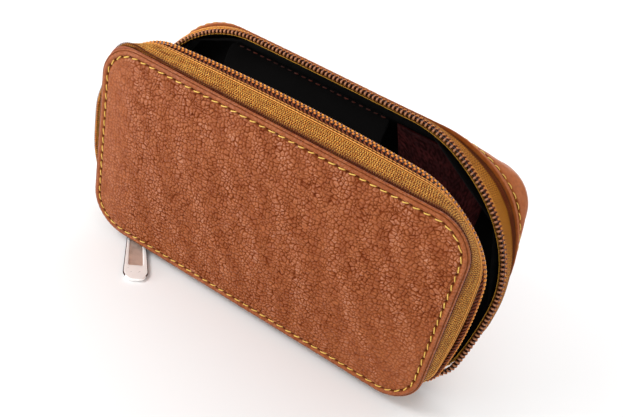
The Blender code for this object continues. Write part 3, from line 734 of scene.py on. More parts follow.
def front_leather():
    grid, loop, stations = fill_outline(lambda t: outline_at(FRONT_FACE, ROLL_R, t),
                                        0.31)
    plan = grid.reshape(-1, 2)
    x, z = plan.T
    radius = FRONT_FACE.r_tl
    beyond = np.abs(plan - [0, Z_MID]) - [FRONT_FACE.left - radius,
                                          Z_MID - FRONT_FACE.bottom - radius]
    inset = radius - np.linalg.norm(np.maximum(beyond, 0), axis=1) - np.minimum(beyond.max(1), 0)
    height, crease = pebble(plan)
    # the grain is calmer near the edge, at the lower right and at the far left
    amp = np.clip((inset - 0.6) / 3.6, 0.4, 1)
    amp = amp * (1 - 0.45 * ramp(x, 25, 70) * ramp(z, 52, 22))
    amp = amp * (1 + 0.12 * waves(plan, 77, 38.0)) * (1 - 0.55 * ramp(x, -58, -72))
    # stitch holes, and the dip each stitch pulls
    hole_t = np.interp(np.arange(FACE_SEAM.count) * FACE_SEAM.pitch,
                       FACE_SEAM.dist, FACE_SEAM.stations)
    near = np.abs(inset - SEAM_INSET) < 2.5
    to_hole = np.full(len(plan), 9.0)
    to_hole[near] = nearest(plan[near], np.stack(FACE_SEAM.path(hole_t), 1))
    hole = bell(to_hole, 0, 0.42)
    depth = face_depth(inset) + height * amp - 0.45 * hole - 0.14 * bell(to_hole, 0, 1.3)
    points = [xyz(x, -(depth + 0.10 * waves(plan, 5, 60)), z)]
    creases = [crease * amp]
    # painted shade in the stitch holes and along the sewn groove
    recess_shades = [np.clip(hole * 1.3 + 0.55 * bell(inset, SEAM_INSET, 0.5), 0, 1)]

    # rings over the rolled edge
    roll_insets = (1.2, 1.06, 0.94, 0.84, 0.76, 0.70, 0.64, 0.58, 0.52, 0.45, 0.36, 0.27, 0.18,
                   0.10, 0.04, 0.0)
    for inset in roll_insets:
        x, z = outline_at(FRONT_FACE, inset, stations)
        plan = np.stack([x, z], 1)
        height, crease = pebble(plan)
        depth = face_depth(inset) + 0.10 * waves(plan, 5, 60) + height * 0.35
        points.append(xyz(x, -depth, z))
        creases.append(crease * 0.3)
        # painted shade in the fine groove of the rolled edge
        recess_shades.append(np.full(len(x), 0.9 * bell(inset, 0.64, 0.16)))
    # rings round to the underside: inset, depth
    under = ((0.0, 16.06), (0.04, 15.98), (0.12, 15.91), (0.3, 15.86), (0.6, 15.85),
             (1.4, 15.85), (2.6, 15.85))
    for inset, depth in under:
        x, z = outline_at(FRONT_FACE, inset, stations)
        points.append(xyz(x, -depth, z))
        creases.append(pebble(np.stack([x, z], 1) + (depth - 16) * 0.8)[1] * 0.5)
        # painted shade on the underside of the rolled edge
        recess_shades.append(np.full(len(x), min(1.0, (16.1 - depth) * 3.5)))
    faces = skin_faces(grid.shape[:2], loop, len(roll_insets) + len(under))
    mesh_piece("front_leather", np.concatenate(points), faces, M_TAN, "front_half",
               "tan_leather", ["front_leather_panel"],
               attrs=dict(crease=np.concatenate(creases), wear=np.concatenate(recess_shades)))


def front_edge_layer():
    """The darker layer under the face, following the slack edge."""
    def ring(_, inset, t):
        share = np.interp(t % N_ALL, [16, 19, 21, 24], [0.2, 0.7, 0.7, 0.35])
        return outline_at(FRONT_FACE, inset - share * slack(t) * ramp(inset, 1.6, 0.4), t)

    far = EDGE_D + 0.75
    section = rounded([(EDGE_D, 0.62), (far, 0.42), (far, 2.8), (EDGE_D, 2.8)], 0.36, 5)
    stations = walk(lambda t: ring(*section[0], t), 0, N_ALL, 0.8)[:-1]
    mesh_piece("front_edge_layer", *tube_mesh(sweep(ring, section, stations, -1), True), M_EDGE,
               "front_half", "tan_leather_edge", ["front_edge_band"])


front_leather()
front_edge_layer()
sew("front_thread", FACE_SEAM, -SEAM_D, -1, M_THREAD, "front_half", "yellow_thread",
    ["front_stitching"], slant=0.30, cover=0.68, lift=0.30, sink=0.40, width=0.24, height=0.22,
    turns=2.0)


# ================================================================ back leather shell
def shell_rings():
    """Rings from the face to the inside: depth, inset, normal out and along y, grain,
    and the inset where the lip is rolled."""
    pitch = 0.55
    rings = []
    count = max(6, int(17.3 / pitch))
    for k in range(1, count + 1):
        angle = math.radians(90 * (1 - k / count))
        c, s = math.cos(angle), math.sin(angle)
        rings.append((WALL_D + WALL_R * s, WALL_R - WALL_R * c, c, s, 0.22 + 0.7 * s ** 3))
    depth = WALL_D
    while depth > 14.85:
        depth -= 0.3
        rings.append((depth, 0.0, 1.0, 0.0, 0.22))
    roll_r, roll_d = 1.8, 16.2
    rings = [row + (row[1] if row[0] > roll_d
                    else roll_r - math.sqrt(roll_r ** 2 - (roll_d - row[0]) ** 2),)
             for row in rings]
    rings += [(14.66, 0.05, 0.9, -0.4, 0.2, 0.90), (14.52, 0.18, 0.8, -0.6, 0.2, 1.16),
              (14.43, 0.38, 0.5, -0.8, 0.14, 1.48), (14.4, 0.65, 0.2, -1.0, 0.1, 1.8),
              (14.4, 1.1, 0, -1, 0.1, 2.05), (14.42, 1.75, 0, -1, 0.0, 3.1),
              (15.0, 1.8, -1, 0, 0.0, 3.3), (16.5, 1.8, -1, 0, 0.0, 2.7),
              (WALL_D, 1.8, -1, 0, 0.0, 1.8)]
    inner_r = WALL_R - 1.8
    for angle in map(math.radians, (20, 40, 60, 75, 90)):
        rings.append((WALL_D + inner_r * math.sin(angle), WALL_R - inner_r * math.cos(angle),
                      0, 0, 0.0, 0.0))
    return rings


def back_leather():
    grid, loop, stations = fill_outline(lambda t: outline_at(BACK_WALL, WALL_R, t),
                                        0.55)
    plan = grid.reshape(-1, 2)
    points = [xyz(plan[:, 0], BACK_D, plan[:, 1])]
    normals = [np.tile([0.0, 1.0, 0.0], (len(plan), 1))]
    amps = [np.full(len(plan), 0.92)]
    recess_shades = [np.zeros(len(plan))]

    def side(t):
        return back_ring(16.0, 0.0, t)

    tx, tz = tangents(side, stations, 0.02, 0.02)
    sign = outward_sign(-tz, tx, *side(stations))
    out_x, out_z = -tz * sign, tx * sign
    turn = np.interp(stations, LIP_SEAM.stations, LIP_SEAM.dist) / LIP_SEAM.pitch
    gap = np.abs(turn - np.round(turn)) * LIP_SEAM.pitch
    # the lip is rolled up the left side and along the top
    rolled = np.interp(stations % N_ALL, [9, 12, 31, 34.5], [0, 1, 1, 0])
    rings = shell_rings()
    for depth, inset, out, along_y, amp, rolled_inset in rings:
        if depth > WALL_D:
            x, z = outline_at(BACK_WALL, inset, stations)
        else:
            x, z = back_ring(depth, inset + (rolled_inset - inset) * rolled, stations)
        outer = amp > 0.15
        groove, hole = 0.0, np.zeros(len(x))
        if outer and depth < 19:
            groove = (-0.42 * bell(depth, LIP_SEAM_D, 0.5) + 0.22 * bell(depth, 15.05, 0.32)
                      + 0.12 * bell(depth, 17.7, 0.8))
        if outer and depth < 18.5:
            hole = bell(np.hypot(gap, depth - LIP_SEAM_D), 0, 0.45)
        push = groove - 0.35 * hole
        points.append(xyz(x + out_x * out * push, depth, z + out_z * out * push))
        normals.append(xyz(out_x * out, along_y, out_z * out))
        amps.append(np.full(len(x), amp))
        # painted shade along the sewn groove and on the lip's edge facing the tape
        seam_shade = (0.55 * bell(depth, LIP_SEAM_D, 0.5) if outer else 0) + 0.6 * (depth < 14.6)
        recess_shades.append(np.clip(hole * 1.2 + seam_shade, 0, 1))
    points, normals, amp = map(np.concatenate, (points, normals, amps))
    height, crease = pebble(points, pitch=1.9, depth=0.24, seed=31, thin=0.36)
    amp = amp * (1 + 0.2 * waves(points, 12, 45.0))
    mesh_piece("back_leather", points + normals * (height * amp)[:, None],
               skin_faces(grid.shape[:2], loop, len(rings)), M_BACK, "back_half", "tan_leather",
               ["back_leather_shell"],
               attrs=dict(crease=0.7 * crease * amp, wear=np.concatenate(recess_shades)))


back_leather()
sew("back_thread", LIP_SEAM, LIP_SEAM_D, 0, M_THREAD, "back_half", "yellow_thread",
    ["back_stitching"], slant=0.22, lift=0.30, sink=0.36, width=0.22, height=0.20, turns=2.0)


# ================================================================ zip tapes
def tape(half, top, mat, rib_height):
    """Tape from depth top down to the coil, folded in there, and back up its inside."""
    face = 0.9      # inset of the outer surface
    span = (lambda t: half.ring(9.0, face, t)), half.start, half.end
    stations = walk(*span, 0.25)
    along = np.linspace(0, arc_table(*span, 6001)[1][-1], len(stations))
    section = [(depth, face) for depth in np.arange(top, 5.0, -0.27)]
    section += [(4.95, 1.0), (4.8, 1.5), (4.65, 2.15), (4.2, 2.36), (3.2, 2.36), (2.1, 2.36),
                (1.75, 2.5), (2.1, 2.66), (4.4, 2.7), (5.0, 2.3), (5.2, 1.72), (9.0, 1.7),
                (top, 1.7)]
    columns, across = [], []
    for depth, inset in section:
        outer = inset == face
        upper = min(1, max(0, (depth - 9) / 4))
        rib = 0.0
        if outer:
            # lines of thread near the coil, then ribs across the weave
            lines = ramp(depth, 6.9, 6.3)
            bend = (0.26 * math.sin(2 * math.pi * depth / 1.5)
                    + 0.3 * waves(xyz(along, depth, 0)[:, :2], 91, 5.0))
            rib = (0.06 * lines * math.cos(2 * math.pi * (depth - LINE_D) / RIB_PITCH)
                   + rib_height * (1 - lines) * np.sin(2 * np.pi * (along + bend) / RIB_PITCH)
                   + 0.10 * math.cos(math.pi * (depth - 5) / (top - 5))
                   + 0.03 * math.sin(2 * math.pi * depth / 1.6))
        if half is BACK and depth > 5:
            rib = rib - 2.7 * tuck(stations) * ((depth - 5) / 9) ** 0.8
            if outer:
                rib = rib + 0.55 * np.interp(stations, [34, 37], [0, 1]) * upper
        x, z = half.ring(depth, inset - rib, stations)
        columns.append(xyz(x, half.sign * depth, z))
        # where the front edge bulges, 'across' is drawn in, so the painted shadow under the leather
        # starts further out
        across.append(depth - 0.75 * (half is FRONT) * slack(stations) * upper)
    attrs = dict(along=np.stack([along] * len(section), 1), across=np.stack(across, 1))
    mesh_piece(half.name + "_tape", *tube_mesh(np.stack(columns, 1)), mat, half.body,
               "zip_tape", [half.name + "_zip_tape"], attrs)


def bead_row(name, half, path, depth, pitch, radii, mat, tilt, shift=0.0, sides=8):
    """A row of thread loops as small ellipsoids; radii run along, in depth and outwards."""
    rings = 5
    stations, dist = arc_table(path, half.start, half.end, 9001)
    count = int(dist[-1] / pitch) - 1
    t = np.interp((np.arange(count) + 0.5 + shift) * pitch, dist, stations)
    x, z = path(t)
    tx, tz = tangents(path, t, 0, 0.005)
    along, inward = xyz(tx, 0 * tx, tz), np.array([0.0, half.sign, 0.0])
    out = np.cross(along, inward)
    out *= outward_sign(out[:, 0], out[:, 2], x, z)
    major = along * math.cos(tilt) + inward * math.sin(tilt)
    minor = -along * math.sin(tilt) + inward * math.cos(tilt)
    polar_a, round_a = np.meshgrid(np.linspace(0, np.pi, rings + 2)[1:-1], circle(sides),
                                   indexing="ij")
    ball = xyz(np.cos(polar_a), np.sin(polar_a) * np.cos(round_a),
               np.sin(polar_a) * np.sin(round_a)).reshape(-1, 3)
    ball = np.concatenate([[[1, 0, 0]], ball, [[-1, 0, 0]]]) * radii
    points = xyz(x, half.sign * depth, z)[:, None]
    for k, axis in enumerate((major, minor, out)):
        points = points + axis[:, None] * ball[None, :, k, None]
    one = grid_faces(rings, sides, True, 1).tolist()
    one += [[0, 1 + (j + 1) % sides, 1 + j] for j in range(sides)]
    end = 1 + (rings - 1) * sides
    one += [[end + j, end + (j + 1) % sides, rings * sides + 1] for j in range(sides)]
    mesh_piece(name, points, repeated(one, len(ball), count), mat, half.body, "zip_tape")


tape(FRONT, 14.65, M_TAPE, rib_height=0.085)
tape(BACK, 14.05, M_TAPE_BACK, rib_height=0.03)
# small loops where each tape is sewn under the leather
bead_row("front_tape_cord", FRONT, lambda t: front_ring(13.95, 0.74, t), 13.95, pitch=1.0,
         radii=(0.40, 0.30, 0.26), mat=M_CORD, tilt=0.5)
bead_row("back_tape_cord", BACK, lambda t: back_ring(13.6, 0.80 + 2.6 * tuck(t), t), 13.6,
         pitch=1.0, radii=(0.40, 0.26, 0.24), mat=M_CORD, tilt=0.5)


# ================================================================ zip coils
def coil(half, head_swell, head_highlight_strength):
    """A continuous nylon coil: one loop per tooth, thicker at the tooth's head."""
    stations, dist = arc_table(lambda t: outline_at(half.tips, COIL_INSET, t),
                               half.start, half.end, 9001)
    loops = int(dist[-1] / COIL_PITCH) - 1
    per_loop, sides = ((20, 8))
    step = np.arange(loops * per_loop + 1)
    phase = (step % per_loop) / per_loop
    advance = smoothstep(np.clip((phase - 0.32) / 0.36, 0, 1))
    s = (step // per_loop + advance) * COIL_PITCH + COIL_PITCH * 0.5
    t = np.interp(s, dist, stations)
    c, sn = np.cos(2 * np.pi * phase), np.sin(2 * np.pi * phase)
    depth = 2.68 - 1.72 * squarish(c, 0.75)
    inset = COIL_INSET - 0.72 * squarish(sn, 0.8)
    x, z = outline_at(half.tips, inset, t)
    centre = xyz(x, half.sign * depth, z)
    tx, tz = tangents(lambda q: outline_at(half.tips, inset, q), t, 0.004, 0.004)
    row = xyz(tx, 0 * tx, tz)
    run = np.gradient(centre, axis=0)
    run /= np.linalg.norm(run, axis=1)[:, None]
    wide = row - run * (row * run).sum(1)[:, None]
    wide /= np.linalg.norm(wide, axis=1)[:, None]
    thick = np.cross(run, wide)
    head = np.clip((c - 0.55) / 0.45, 0, 1)
    wide_r = 0.36 + head_swell * head
    thick_r = 0.34 + 0.02 * head
    angle = circle(sides)
    points = (centre[:, None] + wide[:, None] * (wide_r[:, None] * np.cos(angle))[..., None]
              + thick[:, None] * (thick_r[:, None] * np.sin(angle))[..., None])
    name = half.name + "_coil"
    # painted highlight on the outermost part of each loop, weaker on the back coil
    head_highlight_mask = np.clip((c - 0.62) / 0.3, 0, 1) * head_highlight_strength
    mesh_piece(name, *tube_mesh(points), M_COIL, half.body, "zip_coil",
               [half.name + "_zip_coil"], dict(head=np.repeat(head_highlight_mask, sides)))


def coil_cord(half):
    """The cord inside the coil."""
    def ring(_, inset, t):
        return outline_at(half.tips, inset, t)

    stations = walk(lambda t: ring(0, COIL_INSET, t), half.start, half.end, 1.2)
    section = [(2.95 + 1.15 * math.cos(a), COIL_INSET - 0.36 * math.sin(a)) for a in circle(10)]
    mesh_piece(half.name + "_coil_cord", *tube_mesh(sweep(ring, section, stations, half.sign)),
               M_CORE, half.body, "zip_coil")


def coil_threads(half, chains):
    """Two chains of thread over the coil, and the fine lines beside them on the tape."""
    for row, (depth, shift, mat, length, width) in enumerate(chains, 1):
        bead_row("%s_coil_chain_%d" % (half.name, row), half,
                 lambda t: outline_at(half.tips, 0.08, t), depth, COIL_PITCH,
                 radii=(length, width, 0.32), mat=mat, tilt=0.55, shift=shift)
    for row, depth in enumerate((LINE_D, LINE_D + RIB_PITCH)):
        bead_row("%s_coil_line_%d" % (half.name, row + 1), half,
                 lambda t: half.ring(depth, 0.70, t), depth, COIL_PITCH * 0.9,
                 radii=(0.90, 0.14, 0.20), mat=M_LINE, tilt=0.12, shift=0.3 * row, sides=6)


# chains: depth, shift in pitches, material, loop's radius along and in depth
FRONT_CHAINS = ((2.30, 0.50, M_CHAIN, 0.60, 0.44), (3.62, 0.05, M_CHAIN_LOW, 0.58, 0.44))
BACK_CHAINS = ((2.45, 0.50, M_CHAIN_LOW, 0.46, 0.38), (3.75, 0.05, M_COIL, 0.44, 0.34))
coil(FRONT, head_swell=0.16, head_highlight_strength=1.0)
coil_cord(FRONT)
coil_threads(FRONT, FRONT_CHAINS)
coil(BACK, head_swell=0.04, head_highlight_strength=0.5)
coil_cord(BACK)
coil_threads(BACK, BACK_CHAINS)


# ================================================================ linings
def lining(half, ring, section):
    """Thin closed tray from a (depth, inset) section, one face then the other."""
    stations = walk(lambda t: ring(*section[0], t), 0, N_ALL, 1.2)[:-1]
    points = sweep(ring, section, stations, half.sign).swapaxes(0, 1)
    mesh_piece(half.name + "_lining_cloth", *tube_mesh(points), M_LINING, half.body,
               "black_lining", [half.name + "_lining"])


def back_lining_ring(depth, inset, t):
    if depth > 13:
        return outline_at(BACK_WALL, inset, t)
    return back_ring(depth, inset + 2.8 * tuck(t) * (max(0.0, depth - 5.2) / 8.8) ** 0.8, t)


def lining_bend(angles, thickness):
    """The back lining's round into its face, thickness in from its outer surface."""
    radius = 9.0
    r = radius - thickness
    return [(16.0 + r * math.sin(a), 2.4 + radius - r * math.cos(a))
            for a in map(math.radians, angles)]


lining(FRONT, front_ring,
       [(12.6, 9.0), (12.6, 4.0), (12.5, 3.0), (12.0, 2.4)]
       + [(depth, 2.25) for depth in (11, 9, 7, 5.9)]
       + [(5.45, 2.35), (5.2, 2.7), (5.45, 3.05)]
       + [(depth, 3.15) for depth in (5.9, 7, 9, 10.5)]
       + [(11.2, 3.6), (11.6, 4.6), (11.6, 9.0)])
lining(BACK, back_lining_ring,
       [(25.0, 20.0)] + lining_bend((90, 75, 60, 45, 30, 15), 0)
       + [(depth, 2.55) for depth in (13, 11, 9, 7, 5.9)]
       + [(5.45, 2.6), (5.2, 2.95), (5.45, 3.3)]
       + [(depth, 3.45) for depth in (5.9, 7, 9, 11, 13)]
       + lining_bend((15, 30, 45, 60, 75, 90), 1) + [(24.0, 20.0)])


# ================================================================ soft pads
def inflated(name, points, faces, pinned):
    """Points after a short pressure simulation with the rim held."""
    unit = 100.0        # one solver unit is 100 mm
    scene = bpy.context.scene
    me = bpy.data.meshes.new(name + "_sim")
    me.from_pydata(points / unit, [], faces.tolist())
    ob = bpy.data.objects.new(name + "_sim", me)
    scene.collection.objects.link(ob)
    ob.vertex_groups.new(name="pin").add([int(v) for v in pinned], 1.0, "REPLACE")
    cloth = ob.modifiers.new("Cloth", "CLOTH")
    settings = cloth.settings
    settings.quality = 6
    settings.mass = 0.3
    settings.use_pressure = True
    settings.uniform_pressure_force = 4.0
    settings.vertex_group_mass = "pin"
    settings.tension_stiffness = settings.compression_stiffness = 12
    settings.bending_stiffness = 0.6
    settings.effector_weights.gravity = 0
    cloth.collision_settings.use_collision = False
    cloth.collision_settings.use_self_collision = False
    cloth.point_cache.frame_start, cloth.point_cache.frame_end = 1, 20
    for step in range(1, 21):
        scene.frame_set(step)
        # reading a vertex makes the solver run this frame
        ob.evaluated_get(bpy.context.evaluated_depsgraph_get()).data.vertices[0].co
    result = ob.evaluated_get(bpy.context.evaluated_depsgraph_get())
    out = np.zeros(len(points) * 3)
    result.data.vertices.foreach_get("co", out)
    out = out.reshape(-1, 3) * unit
    scene.frame_set(1)
    bpy.data.objects.remove(ob, do_unlink=True)
    return out


def pad(name, shape, inset, depths, body, swell, cap, replaces, pitch, press):
    """Padded panel between two depths: two cloth faces blown up and joined at the rim.

    swell limits the finished bulge, cap how far a vertex may move; press(x, z, rim) is the
    depth of the sewn lines, with rim the distance from the panel's edge.
    """
    grid, loop, _ = fill_outline(lambda t: outline_at(shape, inset, t), pitch)
    plan = grid.reshape(-1, 2)
    rim = nearest(plan, plan[loop])
    mid, half = (depths[0] + depths[1]) / 2, (depths[1] - depths[0]) / 2
    rise = half * np.sqrt(np.clip(1 - (1 - np.clip(rim / 5.0, 0, 1)) ** 2, 0, 1)) * 0.55
    count = len(plan)
    on_rim = np.isin(np.arange(count), loop)
    inner = np.flatnonzero(~on_rim)
    lower = np.where(on_rim, np.arange(count), 0)
    lower[inner] = count + np.arange(len(inner))
    both = np.concatenate([plan, plan[inner]])
    points = np.stack([both[:, 0], np.concatenate([mid + rise, mid - rise[inner]]),
                       both[:, 1]], 1)
    upper_faces = grid_faces(*grid.shape[:2])
    faces = np.concatenate([upper_faces, lower[upper_faces][:, ::-1]])
    move = inflated(name, points, faces, loop) - points
    far = np.linalg.norm(move, axis=1)
    move[~np.isfinite(far)] = 0
    points = points + move * np.minimum(1, cap / np.maximum(far, 1e-6))[:, None]
    side = np.concatenate([np.ones(count), -np.ones(len(inner))])
    points[:, 1] -= side * press(points[:, 0], points[:, 2], np.concatenate([rim, rim[inner]]))
    points[:, 1] = np.clip(points[:, 1], mid - half - swell, mid + half + swell)
    ob = mesh_piece(name, turned(points, body), faces, M_LINING, None, "black_lining")
    sub = ob.modifiers.new("sub", "SUBSURF")
    sub.levels = sub.render_levels = 1
    smooth = ob.evaluated_get(bpy.context.evaluated_depsgraph_get())
    me = bpy.data.meshes.new_from_object(smooth)
    ob.modifiers.clear()
    ob.data = me
    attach(ob, body)
    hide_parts(*replaces)


def press_divider(x, _, rim):
    """Two upright channels, and a seam inside the binding."""
    channels = 0.45 * bell(x, -23.0, 0.9) + 0.45 * bell(x, 23.0, 0.9)
    return channels * np.clip((rim - 6) / 4, 0, 1) + 0.35 * bell(rim, 4.2, 0.8)


HEM_Z = 87.9


def press_pocket(_, z, rim):
    return 0.22 * bell(z, HEM_Z, 0.5) + 0.15 * bell(rim, 1.6, 0.5)


pad("divider_pad", DIVIDER, 1.2, (-1.1, 1.1), "divider", swell=0.35, cap=1.2,
    replaces=["divider_panel"], pitch=2.2, press=press_divider)
pad("pocket_cloth", POCKET, 0.0, (16.0, 17.2), "back_half", swell=0.15, cap=0.8,
    replaces=["pocket_panel"], pitch=2.4, press=press_pocket)

BINDING_Y = 1.25        # half the binding's thickness


def divider_binding():
    """Leather folded over the divider's rim."""
    section = rounded([(-BINDING_Y, 2.1), (-BINDING_Y, 0.0), (BINDING_Y, 0.0),
                       (BINDING_Y, 2.1)], 0.9, 5)
    stations = walk(lambda t: outline_at(DIVIDER, 0.0, t), 0, N_ALL, 0.7)[:-1]
    points, faces = tube_mesh(sweep(lambda _, inset, t: outline_at(DIVIDER, inset, t),
                                    section, stations), True)
    height, crease = pebble(points, pitch=1.1, depth=0.05, seed=51)
    points[:, 1] += np.sign(points[:, 1]) * height
    mesh_piece("divider_edge_binding", points, faces, M_DARK, "divider", "dark_leather",
               ["divider_binding"], dict(crease=crease, wear=0 * crease))


divider_binding()
HEM_SEAM = seam_along(lambda t: (-57.0 + 73.5 * t, HEM_Z + 0 * t), 0.0, 1.0, 3.5)
BINDING_SEAM = seam_along(lambda t: outline_at(DIVIDER, 1.55, t), 0, N_ALL, 3.2)
sew("pocket_hem_thread", HEM_SEAM, 15.95, -1, M_HEM, "back_half", "hem_thread",
    ["pocket_hem_stitching"], lift=0.28, cover=0.6)
for side_name, facing_y in (("front", -1), ("back", 1)):
    sew("divider_thread_" + side_name, BINDING_SEAM, facing_y * BINDING_Y, facing_y, M_HEM,
        "divider", "hem_thread", width=0.2, lift=0.2)


def inner_patch():
    """Grained patch on the inside of the back half, its left edge slanting at the top."""
    left, right, bottom, top = 31, 66, 30, 88
    slant_x, slant_z = 21, 67.5
    r_top, r_low = 19, 20

    def corner(x, z, radius, angle):
        a = np.radians(np.linspace(angle, angle - 90, 14, endpoint=False))
        return np.stack([x + radius * np.cos(a), z + radius * np.sin(a)], 1)

    def line(p, q, count):
        return np.linspace(p, q, count, endpoint=False)

    outline = np.concatenate([
        line((left, bottom), (left, slant_z), 18),
        line((left, slant_z), (slant_x, top), 12),
        line((slant_x, top), (right - r_top, top), 14),
        corner(right - r_top, top - r_top, r_top, 90),
        line((right, top - r_top), (right, bottom + r_low), 9),
        corner(right - r_low, bottom + r_low, r_low, 0),
        line((right - r_low, bottom), (left, bottom), 8)])
    count = len(outline)
    outline = np.concatenate([outline, outline[:1]])
    # twice as many points round the outline
    x, z = (np.interp(np.arange(0, count, 0.5), np.arange(count + 1), outline[:, k])
            for k in (0, 1))
    # rings: share of the way to the centre, depth
    rings = [(0.0, 17.15), (0.0, 16.55), (0.012, 16.25), (0.03, 16.05), (0.05, 16.0)]
    rings += [(share, 16.0) for share in np.linspace(0.07, 0.985, 40)]
    points = np.stack([xyz(x + (44.0 - x) * share, depth, z + (58.0 - z) * share)
                       for share, depth in rings])
    height, crease = pebble(points[:, :, [0, 2]].reshape(-1, 2), pitch=1.5, depth=0.16, seed=61)
    amp = np.repeat([0.0 if depth > 16.1 else 1.0 for _, depth in rings], len(x))
    points[:, :, 1] -= (height * amp).reshape(points.shape[:2])
    mesh_piece("inner_patch", *tube_mesh(points), M_DARK, "back_half", "dark_leather",
               ["inner_leather_patch"], dict(crease=crease * amp, wear=0 * crease))


inner_patch()


# ================================================================ spine
def spine():
    """One strip of leather under both halves, lying flat under the fold and rising to each side; it
    stays fixed in the row frame.
    """
    # underside, front to back: y, z
    profile = [(-12.6, 1.75), (-11.0, 1.30), (-9.0, 0.80), (-7.0, 0.30), (-6.0, 0.06),
               (-4.0, 0.0), (-2.0, 0.0), (0.0, 0.0), (2.0, 0.0), (4.0, 0.0), (6.0, 0.05),
               (8.0, 0.12), (10.0, 0.18), (12.0, 0.24), (13.0, 0.28)]
    thick, half_length = 1.45, 50
    ys, zs = np.array(profile).T
    low_y = np.interp(np.linspace(0, 1, 66), np.linspace(0, 1, len(ys)), ys)
    low_z = np.interp(low_y, ys, zs)
    back_end, front_end = [ys[-1] + 0.15], [ys[0] - 0.15]
    section_y = np.concatenate([low_y, back_end, low_y[::-1], front_end])
    section_z = np.concatenate([low_z, [zs[-1] + thick / 2], low_z[::-1] + thick,
                                [zs[0] + thick / 2]])
    count = 240
    x, y = np.meshgrid(np.linspace(-half_length, half_length, count), section_y, indexing="ij")
    # the two ends are pressed thinner
    pinch = np.clip((half_length - np.abs(x)) / 1.2, 0, 1) ** 0.5
    mid = np.interp(y, low_y, low_z) + thick / 2
    z = mid + (section_z - mid) * (0.55 + 0.45 * pinch)
    points = xyz(x, y, z).reshape(-1, 3)
    height, crease = pebble(points[:, :2], pitch=1.8, depth=0.12, seed=71)
    under = np.tile(np.arange(len(section_y)) < len(low_y), count)
    foot = under & (np.abs(points[:, 1]) < 6.2)
    height = np.where(foot, np.minimum(height, 0.02), height)
    points[:, 2] += np.where(under, -np.minimum(height, 0.0) * 0.8, height * 0.8)
    points[foot, 2] = np.maximum(points[foot, 2], 0.0)
    ob = mesh_piece("spine_strip", *tube_mesh(points.reshape(count, -1, 3)), M_BACK, None,
                    "tan_leather", ["spine_leather_front", "spine_leather_back"],
                    dict(crease=crease, wear=0 * crease))
    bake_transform(ob)


spine()

# ================================================================ slider
# The slider sits on the zip's lower left corner, an arc about (ARC_X, ARC_Z).
ARC_X, ARC_Z, ARC_R = -53.0, 30.0, 26.0
PARK = 31.3                     # degrees round the arc from straight down
PIN_R, PIN_Y = 30.2, -0.6       # where the pull hangs in the bridge
TAIL, NOSE = PARK - 11.0, PARK + 11.0


def polar(r, degrees, y):
    a = np.radians(degrees)
    return xyz(ARC_X - r * np.sin(a), y, ARC_Z - r * np.cos(a))


def slider_plate(r0, r1):
    """Curved plate with rounded edges, wider and lopsided towards the nose."""
    angle = circle(28)
    across, out = squarish(np.cos(angle), 0.35), squarish(np.sin(angle), 0.5)
    sections = []
    for u in np.linspace(0, 1, 27):
        y0, y1 = -(3.4 + 1.2 * u), 2.4 + 0.8 * u
        end = math.sqrt(1 - (1 - min(1.0, min(u, 1 - u) / 0.09)) ** 2)
        width, thick = (y1 - y0) / 2 * (0.80 + 0.20 * end), (r1 - r0) / 2 * (0.35 + 0.65 * end)
        sections.append(polar((r0 + r1) / 2 + thick * out, TAIL + (NOSE - TAIL) * u,
                              (y0 + y1) / 2 + width * across))
    return tube_mesh(np.array(sections))


def slider_body():
    # the post is a lens-shaped blade between the plates at the nose
    angle = circle(14)
    post = np.array([polar(r, NOSE - 2.4 + 1.7 * np.cos(angle), 0.34 * np.sin(angle))
                     for r in np.linspace(ARC_R - 3.4, ARC_R + 1.1, 8)])
    parts = (slider_plate(ARC_R + 0.45, ARC_R + 1.55),
             slider_plate(ARC_R - 2.2 - 1.55, ARC_R - 2.2 - 0.45), tube_mesh(post))
    first, faces = 0, []
    for points, part_faces in parts:
        faces += [[v + first for v in face] for face in part_faces]
        first += len(points)
    mesh_piece("slider_body", np.concatenate([points for points, _ in parts]), faces, M_NICKEL,
               "slider", "nickel", ["zip_slider_body"], sharp=50)


def slider_bridge():
    """A flat bar bent into an arch, its feet in the outer plate."""
    foot, bend = 2.45, 0.9
    rise = [(-foot, ARC_R + 1.2)]
    rise += [(-foot + bend * (1 - math.cos(a)), PIN_R + 1.0 + bend * math.sin(a))
             for a in np.linspace(0, math.pi / 2, 7)]
    rise = np.array(rise)
    path = np.concatenate([rise, rise[::-1] * [-1, 1]])
    path = np.stack([np.interp(np.linspace(0, 1, 34), np.linspace(0, 1, len(path)), column)
                     for column in path.T], 1)
    run = np.gradient(path, axis=0)
    run /= np.linalg.norm(run, axis=1)[:, None]
    angle = circle(16)
    across, out = 0.88 * squarish(np.cos(angle), 0.5), 0.38 * squarish(np.sin(angle), 0.5)
    sections = []
    for (along, r), (run_along, run_r) in zip(path, run):
        turn = np.degrees((along - run_r * out) / PIN_R)
        sections.append(polar(r + run_along * out, PARK + turn, PIN_Y + across))
    mesh_piece("slider_bridge", *tube_mesh(np.array(sections)), M_NICKEL, "slider", "nickel",
               ["zip_slider_bridge"], sharp=60)


slider_body()
slider_bridge()

# ================================================================ pull
# The pull is drawn along +x from its pivot, bent down to the floor, then turned about z.
PULL_LEN, PULL_TURN, BEND_X, REST_Z = 41.8, -50.0, 9.0, 0.75
PIVOT = turned(polar(PIN_R, PARK, PIN_Y), "slider")


def drop(x):
    """Height of the pull's mid plane: steep to the bend, then nearly flat on the floor."""
    low = PIVOT[2] - REST_Z
    knee = low - 0.7
    steep = -knee * x / BEND_X
    flat = -knee - (low - knee) * (x - BEND_X) / (PULL_LEN - BEND_X)
    w = smoothstep(np.clip((x - BEND_X + 1.6) / 3.2, 0, 1))
    return steep * (1 - w) + flat * w


def pull_place(points):
    """The pull's own points to the row frame."""
    a = math.radians(PULL_TURN)
    x, y, z = points.T
    return xyz(x * math.cos(a) - y * math.sin(a), x * math.sin(a) + y * math.cos(a), z) + PIVOT


